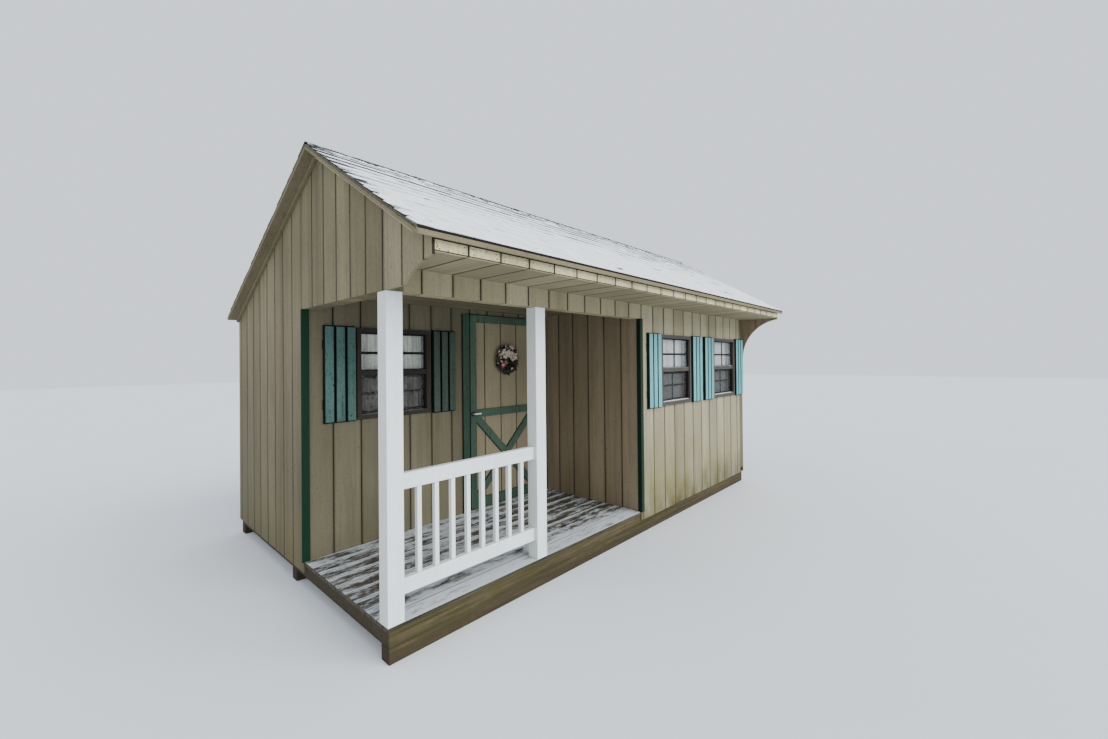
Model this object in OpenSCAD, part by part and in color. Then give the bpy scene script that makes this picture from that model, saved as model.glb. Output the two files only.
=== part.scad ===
// Wooden garden cabin with a corner porch under a deep front eave.
// The origin is on the ground, under the middle of the walls' footprint.
// +X runs along the front to the right, +Y runs from the front to the back, +Z is up.

/* [Overall] */
// Length of the walls along the front
body_w = 4877; // [4600:1:5300]
// Depth of the walls from front to back
body_d = 2946; // [2700:1:3300]
// Length of the open porch, from the left gable to the porch's side wall
porch_w = 2426; // [2350:1:2560]
// Depth of the open porch, from the front eave wall to the porch's back wall
porch_d = 1232; // [1100:1:1400]

/* [Base] */
// Height and width of each ground runner
skid_size = 89; // [70:1:140]
// Height of the floor joists
joist_h = 89; // [70:1:190]
// Thickness of the floor joists
joist_t = 38; // [30:1:50]
// Number of floor joists from gable to gable
joist_count = 13; // [9:1:17]
// Thickness of the floor sheet indoors
floor_t = 19; // [12:1:24]
// Thickness of the porch boards
porch_board_t = 25; // [20:1:38]
// Number of porch boards from front to back
porch_board_count = 9; // [7:1:12]
// Open joint between two porch boards
porch_board_gap = 5; // [3:0.5:10]
// Setback of the porch boards and posts from the faces of the walls above
porch_inset = 6; // [0:1:15]

/* [Walls] */
// Thickness of the grooved siding sheets
siding_t = 16; // [10:1:20]
// Depth of the studs behind the siding
stud_d = 89; // [70:1:100]
// Distance that the siding laps down over the floor joists
siding_lap = 51; // [20:1:65]
// Height of the porch header above the porch boards
header_clear = 1781; // [1700:1:1950]
// Height of the front soffit above the underside of the header
soffit_rise = 131; // [115:1:180]
// Height of the porch ceiling above the underside of the header
ceiling_rise = 107; // [85:1:112]
// Thickness of the soffit and ceiling sheets
lining_t = 10; // [6:1:12]

/* [Roof] */
// Distance of the ridge behind the front wall's face
ridge_back = 904; // [800:1:1050]
// Rise of the front slope for each unit of run
front_pitch = 0.592; // [0.52:0.001:0.66]
// Rise of the back slope for each unit of run
rear_pitch = 0.47; // [0.42:0.001:0.52]
// Reach of the roof's front edge past the front wall's face
eave_out = 488; // [480:1:520]
// Reach of the fascia's face past the front wall's face
fascia_out = 455; // [420:1:460]
// Height of the fascia from the soffit to the roof boards
fascia_h = 85; // [60:1:110]
// Reach of the roof's back edge past the back wall's face
back_out = 30; // [24:1:60]
// Reach of the roof past each gable wall's face
gable_out = 86; // [70:1:130]
// Height of the rafters, square to the slope
rafter_h = 89; // [70:1:120]
// Thickness of the rafters
rafter_t = 38; // [30:1:50]
// Distance between two rafters
rafter_step = 610; // [400:1:620]
// Thickness of the roof boards
decking_t = 13; // [10:1:16]
// Thickness of the shingle layer
shingle_t = 10; // [6:1:14]
// Reach of the ridge cap down each slope
cap_reach = 130; // [90:1:170]
// Thickness of the flat board under each gable overhang
rake_t = 19; // [12:1:30]
// Thickness of the trim along each eave
eave_trim_t = 19; // [12:1:22]
// Height of the trim along each eave
eave_trim_h = 25; // [20:1:32]
// Width of the square strip under each gable overhang
frieze_size = 22; // [12:1:30]
// Gap between the front end of that strip and the fascia's face
frieze_short = 130; // [60:1:200]

/* [Gable brackets] */
// Radius of the concave cut under each gable bracket
bracket_r = 492; // [440:1:520]
// Wood left between that cut and the soffit, and between it and the wall
bracket_lip = 15; // [8:1:30]

/* [Porch posts and railing] */
// Width of each square post
post_size = 95; // [85:1:115]
// Place of the second post's middle, as a share of the porch's length
middle_post_share = 0.4724; // [0.44:0.0001:0.52]
// Height of each rail
rail_h = 89; // [60:1:100]
// Thickness of each rail
rail_t = 38; // [30:1:50]
// Height of the top rail's upper face above the porch boards
rail_top = 792; // [720:1:900]
// Clear height under the bottom rail
rail_clear = 130; // [80:1:180]
// Width of each square baluster
baluster_size = 28; // [20:1:36]
// Number of balusters
baluster_count = 8; // [6:1:10]

/* [Windows and shutters] */
// Width of the porch window's frame, as a share of the porch's length
porch_window_w_share = 0.258; // [0.24:0.001:0.27]
// Place of the porch window's middle, as a share of the porch's length
porch_window_x_share = 0.2819; // [0.27:0.0001:0.3]
// Width of each front window's frame, as a share of the front wall's length
front_window_w_share = 0.2554; // [0.24:0.0001:0.27]
// Place of the first front window's middle, as a share of the front wall's length
front_window_1_share = 0.2689; // [0.26:0.0001:0.28]
// Place of the second front window's middle, as a share of the front wall's length
front_window_2_share = 0.7503; // [0.74:0.0001:0.76]
// Height of each window's outer frame
window_h = 704; // [640:1:760]
// Height of the porch window's middle above the porch boards
window_mid = 1316; // [1240:1:1370]
// How much lower the front windows are set
front_window_drop = 20; // [0:1:40]
// Width of the frame's face
window_face = 34; // [26:1:45]
// Overlap of the frame's flange on the siding
window_flange = 20; // [12:1:25]
// Reach of the flange in front of the siding
window_proud = 19; // [10:1:25]
// Depth of the frame behind the siding's face
window_depth = 48; // [47:1:70]
// Depth of the upper pane behind the siding's face
pane_back = 18; // [8:1:22]
// Step back from the upper pane to the lower one
sash_step = 23; // [12:1:23]
// Height of the rail where the two sashes meet
meeting_rail_h = 36; // [26:1:50]
// Thickness of each pane
pane_t = 4; // [3:0.5:6]
// Width of each shutter, as a share of its window's width
shutter_share = 0.3514; // [0.32:0.0001:0.37]
// Open joint between two shutter boards
shutter_gap = 17; // [8:1:20]
// Number of boards in each shutter
shutter_boards = 3; // [3:1:3]
// Thickness of the shutter boards
shutter_board_t = 13; // [10:1:20]
// Thickness of the two battens behind each shutter
batten_t = 13; // [8:1:20]
// Height of each batten
batten_h = 70; // [50:1:90]
// Distance of each batten's middle from the shutter's nearer end
batten_inset = 132; // [90:1:160]
// Reach of the battens past the outer boards
batten_over = 9; // [0:1:12]
// Gap between the left shutter and the window's frame
left_shutter_offset = 14; // [13:1:18]
// Gap between the right shutter and the window's frame
right_shutter_offset = 26; // [13:1:30]

/* [Door] */
// Place of the doorway's left side, as a share of the porch's length
doorway_x_share = 0.5791; // [0.57:0.0001:0.59]
// Width of the doorway, as a share of the porch's length
doorway_w_share = 0.3644; // [0.34:0.0001:0.37]
// Height of the doorway above the porch boards
doorway_h = 1849; // [1740:1:1870]
// Gap between the door and the doorway, at the sides and at the top
door_gap = 8; // [6:1:12]
// Gap between the door and the porch boards
door_sill_gap = 13; // [6:1:20]
// Thickness of the door's planks
door_plank_t = 35; // [20:1:45]
// Thickness of the boards framed on the door's face
door_board_t = 19; // [12:1:25]
// Width of the door's upright boards and cross boards
door_board_w = 70; // [55:1:85]
// Width of the board along the door's foot
door_foot_w = 95; // [80:1:120]
// Height of the middle cross board's lower edge above the door's foot
door_mid_z = 861; // [780:1:940]
// Width of the casing on each side of the doorway
casing_w = 73; // [50:1:76]
// Thickness of the casing
casing_t = 19; // [12:1:25]
// Width of each leg of the angle trim at the corner of the porch's side wall and front wall
trim_w = 32; // [24:1:50]
// Width of the flat trim at the porch's left corner, from the corner on
left_trim_w = 40; // [30:1:55]
// Thickness of those trims
trim_t = 12; // [8:1:18]

/* [Hinges and lever] */
// Radius of the hinge pins
pin_r = 4; // [3:0.5:6]
// Running clearance around a hinge pin
pin_clearance = 0.1; // [0.05:0.01:0.1]
// Wall of each hinge knuckle
knuckle_wall = 2.2; // [1.5:0.1:3]
// Height of each hinge
hinge_h = 76; // [60:1:100]
// Width of each hinge leaf
hinge_leaf_w = 44; // [30:1:55]
// Thickness of each hinge leaf
hinge_leaf_t = 2.5; // [2:0.1:3.5]
// Vertical play between two knuckles
knuckle_play = 0.5; // [0.4:0.1:1]
// Gap between a knuckle and the board or leaf beside it
knuckle_gap = 1; // [0.6:0.1:2]
// Number of hinges
hinge_count = 3; // [2:1:4]
// Distance of the end hinges' middles from the door's ends
hinge_inset = 190; // [120:1:260]
// Height of the lever above the door's foot
lever_z = 896; // [820:1:960]
// Length of the lever
lever_l = 60; // [50:1:110]
// Radius of the lever's round rod
lever_r = 8; // [6:0.5:10]
// Radius of the lever's rose
rose_r = 20; // [16:1:24]
// Thickness of the lever's rose
rose_t = 9; // [6:1:12]
// Distance of the lever's rod from the door's face
lever_reach = 40; // [36:1:60]
// Distance of the lever's middle from the door's edge
lever_back = 26; // [25:1:40]

/* [Wreath] */
// Radius of the wreath's ring, to the middle of its stuffing
wreath_ring_r = 112; // [90:1:130]
// Radius of the wreath's stuffing
wreath_tube_r = 36; // [24:1:45]
// Height of the wreath's middle above the porch boards
wreath_z = 1415; // [1360:1:1460]
// Gap between the wreath and the door's planks
wreath_gap = 0.3; // [0.2:0.1:1]

/* [Clearances] */
// Joint that parts two boards or sheets of one kind
split = 2; // [1:0.5:4]
// Hairline between the layers of the sloping roof
layer_gap = 0.2; // [0.1:0.1:0.5]
// Open joint between the porch boards and the walls beside them
board_end_gap = 2; // [1:0.5:4]

/* [Hidden] */

round_fn = 96;
wall_t = siding_t + stud_d;

x_left = -body_w / 2;
x_right = body_w / 2;
x_side = x_left + porch_w;
front_w = body_w - porch_w;
y_front = -body_d / 2;
y_back = body_d / 2;
y_porch = y_front + porch_d;

z_joist_low = skid_size;
z_joist_top = z_joist_low + joist_h;
z_floor = z_joist_top + floor_t;
z_deck = z_joist_top + porch_board_t;
z_siding = z_joist_top - siding_lap;
z_header = z_deck + header_clear;
z_soffit = z_header + soffit_rise;
z_ceiling = z_header + ceiling_rise;
z_plate = z_ceiling + lining_t;

ridge_y = y_front + ridge_back;
ridge_under = z_soffit + fascia_h + front_pitch * (ridge_back + fascia_out);
y_fascia = y_front - fascia_out;
y_eave = y_front - eave_out;
y_back_eave = y_back + back_out;

// A share of a length, in whole millimetres
function part_of(length, share) = round(length * share);
function pitch_at(y) = y < ridge_y ? front_pitch : rear_pitch;
function stretch(pitch) = sqrt(1 + pitch * pitch);
// Height of the roof boards' underside, moved square to the slope by an offset
function roof_z(y, offset = 0) =
    ridge_under - pitch_at(y) * abs(y - ridge_y) + offset * stretch(pitch_at(y));

module block(x0, x1, y0, y1, z0, z1) {
    translate([x0, y0, z0]) cube([x1 - x0, y1 - y0, z1 - z0]);
}

// Sweep an outline of Y and Z along X
module along_x(x0, x1) {
    translate([x0, 0, 0]) rotate([90, 0, 90]) linear_extrude(x1 - x0) children();
}

// Sweep an outline of X and Z along Y
module along_y(y0, y1) {
    translate([0, y1, 0]) rotate([90, 0, 0]) linear_extrude(y1 - y0) children();
}

// Sweep an outline of X and Y along Z
module along_z(z0, z1) {
    translate([0, 0, z0]) linear_extrude(z1 - z0) children();
}

// A layer that follows one slope between two offsets, with plumb ends
module slope_band(y0, y1, low, high) {
    side = (y0 + y1) / 2;
    pitch = pitch_at(side);
    function z_at(y, offset) =
        ridge_under - pitch * abs(y - ridge_y) + offset * stretch(pitch);
    polygon([[y0, z_at(y0, low)], [y1, z_at(y1, low)], [y1, z_at(y1, high)], [y0, z_at(y0, high)]]);
}

// Offset of the walls' tops that carry the rafters
under_rafter = -rafter_h - layer_gap;

// Base

skid_y = [y_front + siding_t + skid_size / 2, 0, y_back - siding_t - skid_size / 2];

module skids() {
    color([0.36, 0.29, 0.2])
    for (y = skid_y)
        block(x_left + siding_t, x_right - siding_t, y - skid_size / 2, y + skid_size / 2, 0, skid_size);
}

frame_x0 = x_left + siding_t;
frame_x1 = x_right - siding_t;
frame_y0 = y_front + siding_t;
frame_y1 = y_back - siding_t;

module rim_joists() {
    color([0.4, 0.32, 0.21]) {
        block(frame_x0, frame_x1, frame_y0, frame_y0 + joist_t, z_joist_low, z_joist_top);
        block(frame_x0, frame_x1, frame_y1 - joist_t, frame_y1, z_joist_low, z_joist_top);
    }
}

module floor_joists() {
    step = (frame_x1 - frame_x0 - joist_t) / (joist_count - 1);
    color([0.4, 0.32, 0.21])
    for (i = [0 : joist_count - 1])
        block(frame_x0 + i * step, frame_x0 + i * step + joist_t, frame_y0 + joist_t,
              frame_y1 - joist_t, z_joist_low, z_joist_top);
}

// The floor stays out of the porch, where the boards take its place
module floor_sheets() {
    color([0.62, 0.5, 0.34]) {
        block(x_side, frame_x1, frame_y0, y_porch - split, z_joist_top, z_floor);
        block(frame_x0, frame_x1, y_porch, frame_y1, z_joist_top, z_floor);
    }
}

porch_x0 = x_left + porch_inset;
porch_x1 = x_side - board_end_gap;
porch_y0 = y_front + porch_inset;
porch_y1 = y_porch - board_end_gap;

module porch_boards() {
    step = (porch_y1 - porch_y0 + porch_board_gap) / porch_board_count;
    color([0.45, 0.43, 0.4])
    for (i = [0 : porch_board_count - 1])
        block(porch_x0, porch_x1, porch_y0 + i * step, porch_y0 + (i + 1) * step - porch_board_gap,
              z_joist_top, z_deck);
}

// Walls: a siding skin that laps over the joists, and a framed core that stands on the floor

module gable_outline(y0, y1, z0) {
    peak = y0 < ridge_y && ridge_y < y1 ? [[ridge_y, ridge_under]] : [];
    polygon(concat([[y1, z0], [y1, roof_z(y1)]], peak, [[y0, roof_z(y0)], [y0, z0]]));
}

// The siding skin lies on the side of the wall that "outside" names, -1 or 1
module gable_wall(y0, y1, outside) {
    x0 = outside < 0 ? x_left : x_right - wall_t;
    skin_x0 = outside < 0 ? x_left : x_right - siding_t;
    union() {
        along_x(x0, x0 + wall_t) gable_outline(y0, y1, z_floor);
        along_x(skin_x0, skin_x0 + siding_t) gable_outline(y0, y1, z_siding);
    }
}

module left_wall() {
    color([0.45, 0.42, 0.35]) gable_wall(y_porch, y_back, -1);
}

module right_wall() {
    color([0.45, 0.42, 0.35]) gable_wall(y_front, y_back, 1);
}

module left_porch_gable() {
    color([0.47, 0.44, 0.36])
    along_x(x_left, x_left + wall_t) gable_outline(y_front, y_porch, z_header);
}

// Bracket that carries the siding out to the fascia, with a concave quarter round under it
module bracket_outline(z_low) {
    centre = bracket_r + bracket_lip;
    difference() {
        polygon([[y_fascia, z_low], [y_front, z_low], [y_front, roof_z(y_front)],
                 [y_fascia, roof_z(y_fascia)]]);
        translate([y_front - centre, z_soffit - centre]) circle(r = bracket_r, $fn = round_fn);
        translate([y_front - centre - bracket_r, z_soffit - centre - bracket_r])
            square([bracket_r, 2 * bracket_r]);
    }
}

module gable_brackets() {
    color([0.47, 0.44, 0.36]) {
        along_x(x_left, x_left + siding_t) bracket_outline(z_header);
        along_x(x_right - siding_t, x_right)
            bracket_outline(z_soffit - bracket_r - bracket_lip);
    }
}

module back_wall() {
    x0 = x_left + wall_t;
    x1 = x_right - wall_t;
    y1 = y_back - siding_t;
    y0 = y_back - wall_t;
    color([0.45, 0.42, 0.35])
    union() {
        along_x(x0, x1)
            polygon([[y1, z_siding], [y_back, z_siding], [y_back, roof_z(y_back)], [y1, roof_z(y1)]]);
        along_x(x0, x1)
            polygon([[y0, z_floor], [y_back, z_floor], [y_back, roof_z(y_back, under_rafter)],
                     [y0, roof_z(y0, under_rafter)]]);
    }
}

// Hole for a window's frame
module window_hole(x, width, y0, y1, z) {
    w = width - 2 * window_flange;
    h = window_h - 2 * window_flange;
    block(x - w / 2, x + w / 2, y0 - 1, y1 + 1, z - h / 2, z + h / 2);
}

porch_window_w = part_of(porch_w, porch_window_w_share);
porch_window_mid = x_left + part_of(porch_w, porch_window_x_share);
front_window_w = part_of(front_w, front_window_w_share);
front_window_1 = x_side + part_of(front_w, front_window_1_share);
front_window_2 = x_side + part_of(front_w, front_window_2_share);
porch_window_z = z_deck + window_mid;
front_window_z = porch_window_z - front_window_drop;

// Outline of a framed wall under the front rafters
module front_outline(y1, z0) {
    polygon([[y_front, z0], [y1, z0], [y1, roof_z(y1, under_rafter)],
             [y_front, roof_z(y_front, under_rafter)]]);
}

module front_wall() {
    x1 = x_right - wall_t;
    color([0.68, 0.66, 0.56])
    difference() {
        union() {
            along_x(x_side, x1) front_outline(y_front + wall_t, z_floor);
            along_x(x_side, x1) front_outline(y_front + siding_t, z_siding);
        }
        window_hole(front_window_1, front_window_w, y_front, y_front + wall_t, front_window_z);
        window_hole(front_window_2, front_window_w, y_front, y_front + wall_t, front_window_z);
    }
}

module porch_header() {
    color([0.6, 0.58, 0.48])
    along_x(x_left + wall_t, x_side) front_outline(y_front + wall_t, z_header);
}

module porch_side_wall() {
    color([0.36, 0.32, 0.27])
    block(x_side, x_side + wall_t, y_front + wall_t, y_porch + wall_t, z_floor, z_plate);
}

door_x0 = x_left + part_of(porch_w, doorway_x_share);
door_x1 = door_x0 + part_of(porch_w, doorway_w_share);

module porch_back_wall() {
    color([0.42, 0.39, 0.32])
    difference() {
        block(x_left + wall_t, door_x0, y_porch, y_porch + wall_t, z_floor, z_plate);
        window_hole(porch_window_mid, porch_window_w, y_porch, y_porch + wall_t, porch_window_z);
    }
}

module wall_beside_door() {
    color([0.42, 0.39, 0.32])
    block(door_x1, x_side, y_porch, y_porch + wall_t, z_floor, z_plate);
}

module wall_over_door() {
    z0 = z_deck + doorway_h;
    color([0.42, 0.39, 0.32])
    block(door_x0, door_x1, y_porch, y_porch + wall_t, z0, z_plate);
}

module porch_ceiling() {
    color([0.44, 0.4, 0.33])
    block(x_left + wall_t, x_side, y_front + wall_t, y_porch, z_ceiling, z_ceiling + lining_t);
}

// Roof

module front_soffit() {
    color([0.48, 0.45, 0.37])
    block(x_left + siding_t, x_right - siding_t, y_fascia + siding_t, y_front,
          z_soffit, z_soffit + lining_t);
}

module front_fascia() {
    y1 = y_fascia + siding_t;
    color([0.74, 0.72, 0.6])
    along_x(x_left + siding_t, x_right - siding_t)
        polygon([[y_fascia, z_soffit], [y1, z_soffit], [y1, roof_z(y1)], [y_fascia, roof_z(y_fascia)]]);
}

// Front rafter with a plumb cut at the ridge, a plumb tail and a level cut over the soffit
module front_rafter_outline() {
    tail_y = y_fascia + siding_t;
    cut_z = z_soffit + lining_t;
    ridge_low = ridge_under - rafter_h * stretch(front_pitch);
    low_y = max(tail_y, ridge_y - (ridge_low - cut_z) / front_pitch);
    low_z = roof_z(low_y, -rafter_h);
    end_y = ridge_y - split / 2;
    polygon([[tail_y, low_z], [low_y, low_z], [end_y, roof_z(end_y, -rafter_h)],
             [end_y, roof_z(end_y)], [tail_y, roof_z(tail_y)]]);
}

module rafters() {
    half = floor((body_w / 2 - wall_t - rafter_t) / rafter_step);
    color([0.66, 0.52, 0.34])
    for (i = [-half : half]) {
        x = i * rafter_step;
        along_x(x - rafter_t / 2, x + rafter_t / 2) front_rafter_outline();
        along_x(x - rafter_t / 2, x + rafter_t / 2)
            slope_band(ridge_y + split / 2, y_back - siding_t, -rafter_h, 0);
    }
}

roof_x0 = x_left - gable_out;
roof_x1 = x_right + gable_out;
decking_y0 = y_eave + eave_trim_t;
decking_y1 = y_back_eave - eave_trim_t;

module roof_decking() {
    color([0.62, 0.6, 0.52]) {
        along_x(roof_x0, roof_x1)
            slope_band(decking_y0, ridge_y - split / 2, layer_gap, decking_t);
        along_x(roof_x0, roof_x1)
            slope_band(ridge_y + split / 2, decking_y1, layer_gap, decking_t);
    }
}

shingle_low = decking_t + layer_gap;
shingle_high = decking_t + shingle_t;

module front_shingles() {
    color([0.2, 0.22, 0.24])
    along_x(roof_x0, roof_x1) slope_band(y_eave, ridge_y, shingle_low, shingle_high);
}

module back_shingles() {
    color([0.2, 0.22, 0.24])
    along_x(roof_x0, roof_x1) slope_band(ridge_y, y_back_eave, shingle_low, shingle_high);
}

cap_low = shingle_high + layer_gap;
cap_high = shingle_high + shingle_t / 2;

module ridge_cap() {
    color([0.17, 0.19, 0.21])
    along_x(roof_x0, roof_x1)
        union() {
            slope_band(ridge_y - cap_reach, ridge_y, cap_low, cap_high);
            slope_band(ridge_y, ridge_y + cap_reach, cap_low, cap_high);
        }
}

module rake_pair(x0, x1) {
    along_x(x0, x1) slope_band(decking_y0, ridge_y - split / 2, -rake_t, 0);
    along_x(x0, x1) slope_band(ridge_y + split / 2, decking_y1, -rake_t, 0);
}

module rake_boards() {
    color([0.58, 0.56, 0.46]) {
        rake_pair(roof_x0, x_left);
        rake_pair(x_right, roof_x1);
    }
}

// Trim with a plumb outer face and a top that follows the slope under the shingles
module eave_trim(y0, y1) {
    low = min(roof_z(y0, decking_t), roof_z(y1, decking_t)) - eave_trim_h;
    along_x(roof_x0, roof_x1)
        polygon([[y0, low], [y1, low], [y1, roof_z(y1, decking_t)], [y0, roof_z(y0, decking_t)]]);
}

module eave_trims() {
    color([0.66, 0.64, 0.54]) {
        eave_trim(y_eave, decking_y0);
        eave_trim(decking_y1, y_back_eave);
    }
}

module frieze(x0, x1) {
    high = -rake_t - layer_gap;
    low = high - frieze_size;
    along_x(x0, x1) slope_band(y_fascia + frieze_short, ridge_y - split / 2, low, high);
    along_x(x0, x1) slope_band(ridge_y + split / 2, y_back, low, high);
}

module gable_friezes() {
    color([0.6, 0.58, 0.47]) {
        frieze(x_left - frieze_size, x_left);
        frieze(x_right, x_right + frieze_size);
    }
}

// Porch posts and railing

post_y0 = porch_y0;
corner_post_x0 = porch_x0;
middle_post_x0 = x_left + part_of(porch_w, middle_post_share) - post_size / 2;

module post(x0) {
    block(x0, x0 + post_size, post_y0, post_y0 + post_size, z_deck, z_header);
}

module corner_post() {
    color([0.9, 0.91, 0.9]) post(corner_post_x0);
}

module middle_post() {
    color([0.9, 0.91, 0.9]) post(middle_post_x0);
}

bay_x0 = corner_post_x0 + post_size;
bay_x1 = middle_post_x0;
rail_y = post_y0 + post_size / 2;
z_rail_top = z_deck + rail_top;
z_rail_low = z_deck + rail_clear;

module rail(z0) {
    block(bay_x0, bay_x1, rail_y - rail_t / 2, rail_y + rail_t / 2, z0, z0 + rail_h);
}

module porch_rails() {
    color([0.9, 0.91, 0.9]) {
        rail(z_rail_top - rail_h);
        rail(z_rail_low);
    }
}

module balusters() {
    step = (bay_x1 - bay_x0) / (baluster_count + 1);
    half = baluster_size / 2;
    color([0.88, 0.89, 0.88])
    for (i = [1 : baluster_count]) {
        x = bay_x0 + i * step;
        block(x - half, x + half, rail_y - half, rail_y + half, z_rail_low + rail_h,
              z_rail_top - rail_h);
    }
}

// Trims

module corner_trim(x, y) {
    along_z(z_deck, z_header)
        polygon([[x - trim_t, y - trim_t], [x + trim_w, y - trim_t], [x + trim_w, y], [x, y],
                 [x, y + trim_w], [x - trim_t, y + trim_w]]);
}

module corner_trims() {
    color([0.08, 0.3, 0.2]) {
        block(x_left - trim_t, x_left + left_trim_w, y_porch - trim_t, y_porch, z_deck, z_header);
        corner_trim(x_side, y_front);
    }
}

casing_y = y_porch - casing_t;

module door_casing() {
    z1 = z_deck + doorway_h - door_gap;
    color([0.1, 0.3, 0.22]) {
        block(door_x0 - casing_w, door_x0, casing_y, y_porch, z_deck, z1);
        block(door_x1, door_x1 + casing_w, casing_y, y_porch, z_deck, z1);
    }
}

// Windows and shutters

module window_frame(x, width, y, z) {
    hole_w = width - 2 * window_flange;
    hole_h = window_h - 2 * window_flange;
    light_w = width - 2 * window_face;
    light_h = window_h - 2 * window_face;
    rail_reach = (light_w + hole_w) / 4;
    union() {
        along_y(y - window_proud, y)
            difference() {
                translate([x - width / 2, z - window_h / 2]) square([width, window_h]);
                translate([x - light_w / 2, z - light_h / 2]) square([light_w, light_h]);
            }
        along_y(y - window_proud, y + window_depth)
            difference() {
                translate([x - hole_w / 2, z - hole_h / 2]) square([hole_w, hole_h]);
                translate([x - light_w / 2, z - light_h / 2]) square([light_w, light_h]);
            }
        block(x - rail_reach, x + rail_reach, y - window_proud / 2, y + window_depth,
              z - meeting_rail_h / 2, z + meeting_rail_h / 2);
    }
}

module porch_window() {
    color([0.2, 0.17, 0.15]) window_frame(porch_window_mid, porch_window_w, y_porch, porch_window_z);
}

module front_windows() {
    color([0.2, 0.17, 0.15]) {
        window_frame(front_window_1, front_window_w, y_front, front_window_z);
        window_frame(front_window_2, front_window_w, y_front, front_window_z);
    }
}

module pane_pair(x, width, y, z) {
    half_w = width / 2 - window_face;
    half_h = window_h / 2 - window_face;
    rail = meeting_rail_h / 2;
    upper_y = y + pane_back;
    lower_y = upper_y + sash_step;
    block(x - half_w, x + half_w, upper_y, upper_y + pane_t, z + rail, z + half_h);
    block(x - half_w, x + half_w, lower_y, lower_y + pane_t, z - half_h, z - rail);
}

module window_panes() {
    color([0.75, 0.82, 0.85, 0.4]) {
        pane_pair(porch_window_mid, porch_window_w, y_porch, porch_window_z);
        pane_pair(front_window_1, front_window_w, y_front, front_window_z);
        pane_pair(front_window_2, front_window_w, y_front, front_window_z);
    }
}

// Open boarded shutter: upright boards on two battens
module shutter(x0, width, y, z_mid) {
    z0 = z_mid - window_h / 2;
    board_w = (width - (shutter_boards - 1) * shutter_gap) / shutter_boards;
    union() {
        for (i = [0 : shutter_boards - 1]) {
            x = x0 + i * (board_w + shutter_gap);
            block(x, x + board_w, y - batten_t - shutter_board_t, y - batten_t, z0, z0 + window_h);
        }
        for (z = [z0 + batten_inset, z0 + window_h - batten_inset])
            block(x0 - batten_over, x0 + width + batten_over, y - batten_t, y,
                  z - batten_h / 2, z + batten_h / 2);
    }
}

module shutter_pair(x, window_width, y, z_mid) {
    width = part_of(window_width, shutter_share);
    shutter(x - window_width / 2 - left_shutter_offset - width, width, y, z_mid);
    shutter(x + window_width / 2 + right_shutter_offset, width, y, z_mid);
}

module porch_shutters() {
    color([0.2, 0.45, 0.44]) shutter_pair(porch_window_mid, porch_window_w, y_porch, porch_window_z);
}

module front_shutters() {
    color([0.5, 0.76, 0.74]) {
        shutter_pair(front_window_1, front_window_w, y_front, front_window_z);
        shutter_pair(front_window_2, front_window_w, y_front, front_window_z);
    }
}

// Door

leaf_x0 = door_x0 + door_gap;
leaf_x1 = door_x1 - door_gap;
leaf_z0 = z_deck + door_sill_gap;
leaf_z1 = z_deck + doorway_h - door_gap;
leaf_y = y_porch - door_board_t;

module door_planks() {
    color([0.47, 0.43, 0.34])
    block(leaf_x0, leaf_x1, y_porch, y_porch + door_plank_t, leaf_z0, leaf_z1);
}

// Diagonal board between two corners of the lower panel, cut off at that panel's edges
module brace(xa, za, xb, zb) {
    angle = atan2(zb - za, xb - xa);
    length = norm([xb - xa, zb - za]);
    translate([(xa + xb) / 2, (za + zb) / 2]) rotate(angle)
        square([length + 2 * door_board_w, door_board_w], center = true);
}

module door_frame() {
    x0 = leaf_x0 + door_board_w;
    x1 = leaf_x1 - door_board_w;
    z_mid0 = leaf_z0 + door_mid_z;
    z_mid1 = z_mid0 + door_board_w;
    z_foot = leaf_z0 + door_foot_w;
    z_top = leaf_z1 - door_board_w;
    color([0.12, 0.33, 0.26])
    along_y(leaf_y, y_porch)
        union() {
            difference() {
                translate([leaf_x0, leaf_z0]) square([leaf_x1 - leaf_x0, leaf_z1 - leaf_z0]);
                translate([x0, z_foot]) square([x1 - x0, z_mid0 - z_foot]);
                translate([x0, z_mid1]) square([x1 - x0, z_top - z_mid1]);
            }
            intersection() {
                translate([leaf_x0 + 1, leaf_z0 + 1])
                    square([leaf_x1 - leaf_x0 - 2, z_mid1 - leaf_z0 - 2]);
                union() {
                    brace(x0, z_foot, x1, z_mid0);
                    brace(x0, z_mid0, x1, z_foot);
                }
            }
        }
}

// Lever on a round rose, on each face of the door
module door_lever() {
    x = leaf_x0 + lever_back;
    z = leaf_z0 + lever_z;
    back_y = y_porch + door_plank_t;
    color([0.78, 0.79, 0.8]) {
        translate([x, leaf_y, z]) rotate([90, 0, 0]) lever();
        translate([x, back_y, z]) rotate([-90, 0, 0]) mirror([0, 1, 0]) lever();
    }
}

module lever() {
    cylinder(h = rose_t, r = rose_r, $fn = round_fn);
    cylinder(h = lever_reach, r = lever_r, $fn = round_fn);
    translate([0, 0, lever_reach]) sphere(r = lever_r, $fn = round_fn);
    translate([0, 0, lever_reach]) rotate([0, 90, 0])
        cylinder(h = lever_l, r = lever_r, $fn = round_fn);
    translate([lever_l, 0, lever_reach]) sphere(r = lever_r, $fn = round_fn);
}

// Butt hinges: the pin and the end knuckles stay on the casing, the middle knuckle turns

knuckle_r = pin_r + knuckle_wall;
pin_x = door_x1 - door_gap / 2;
pin_y = leaf_y - knuckle_r - knuckle_gap;
hinge_z = [for (i = [0 : hinge_count - 1])
    leaf_z0 + hinge_inset + i * (leaf_z1 - leaf_z0 - 2 * hinge_inset) / (hinge_count - 1)];
knuckle_h = hinge_h / 3;

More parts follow.
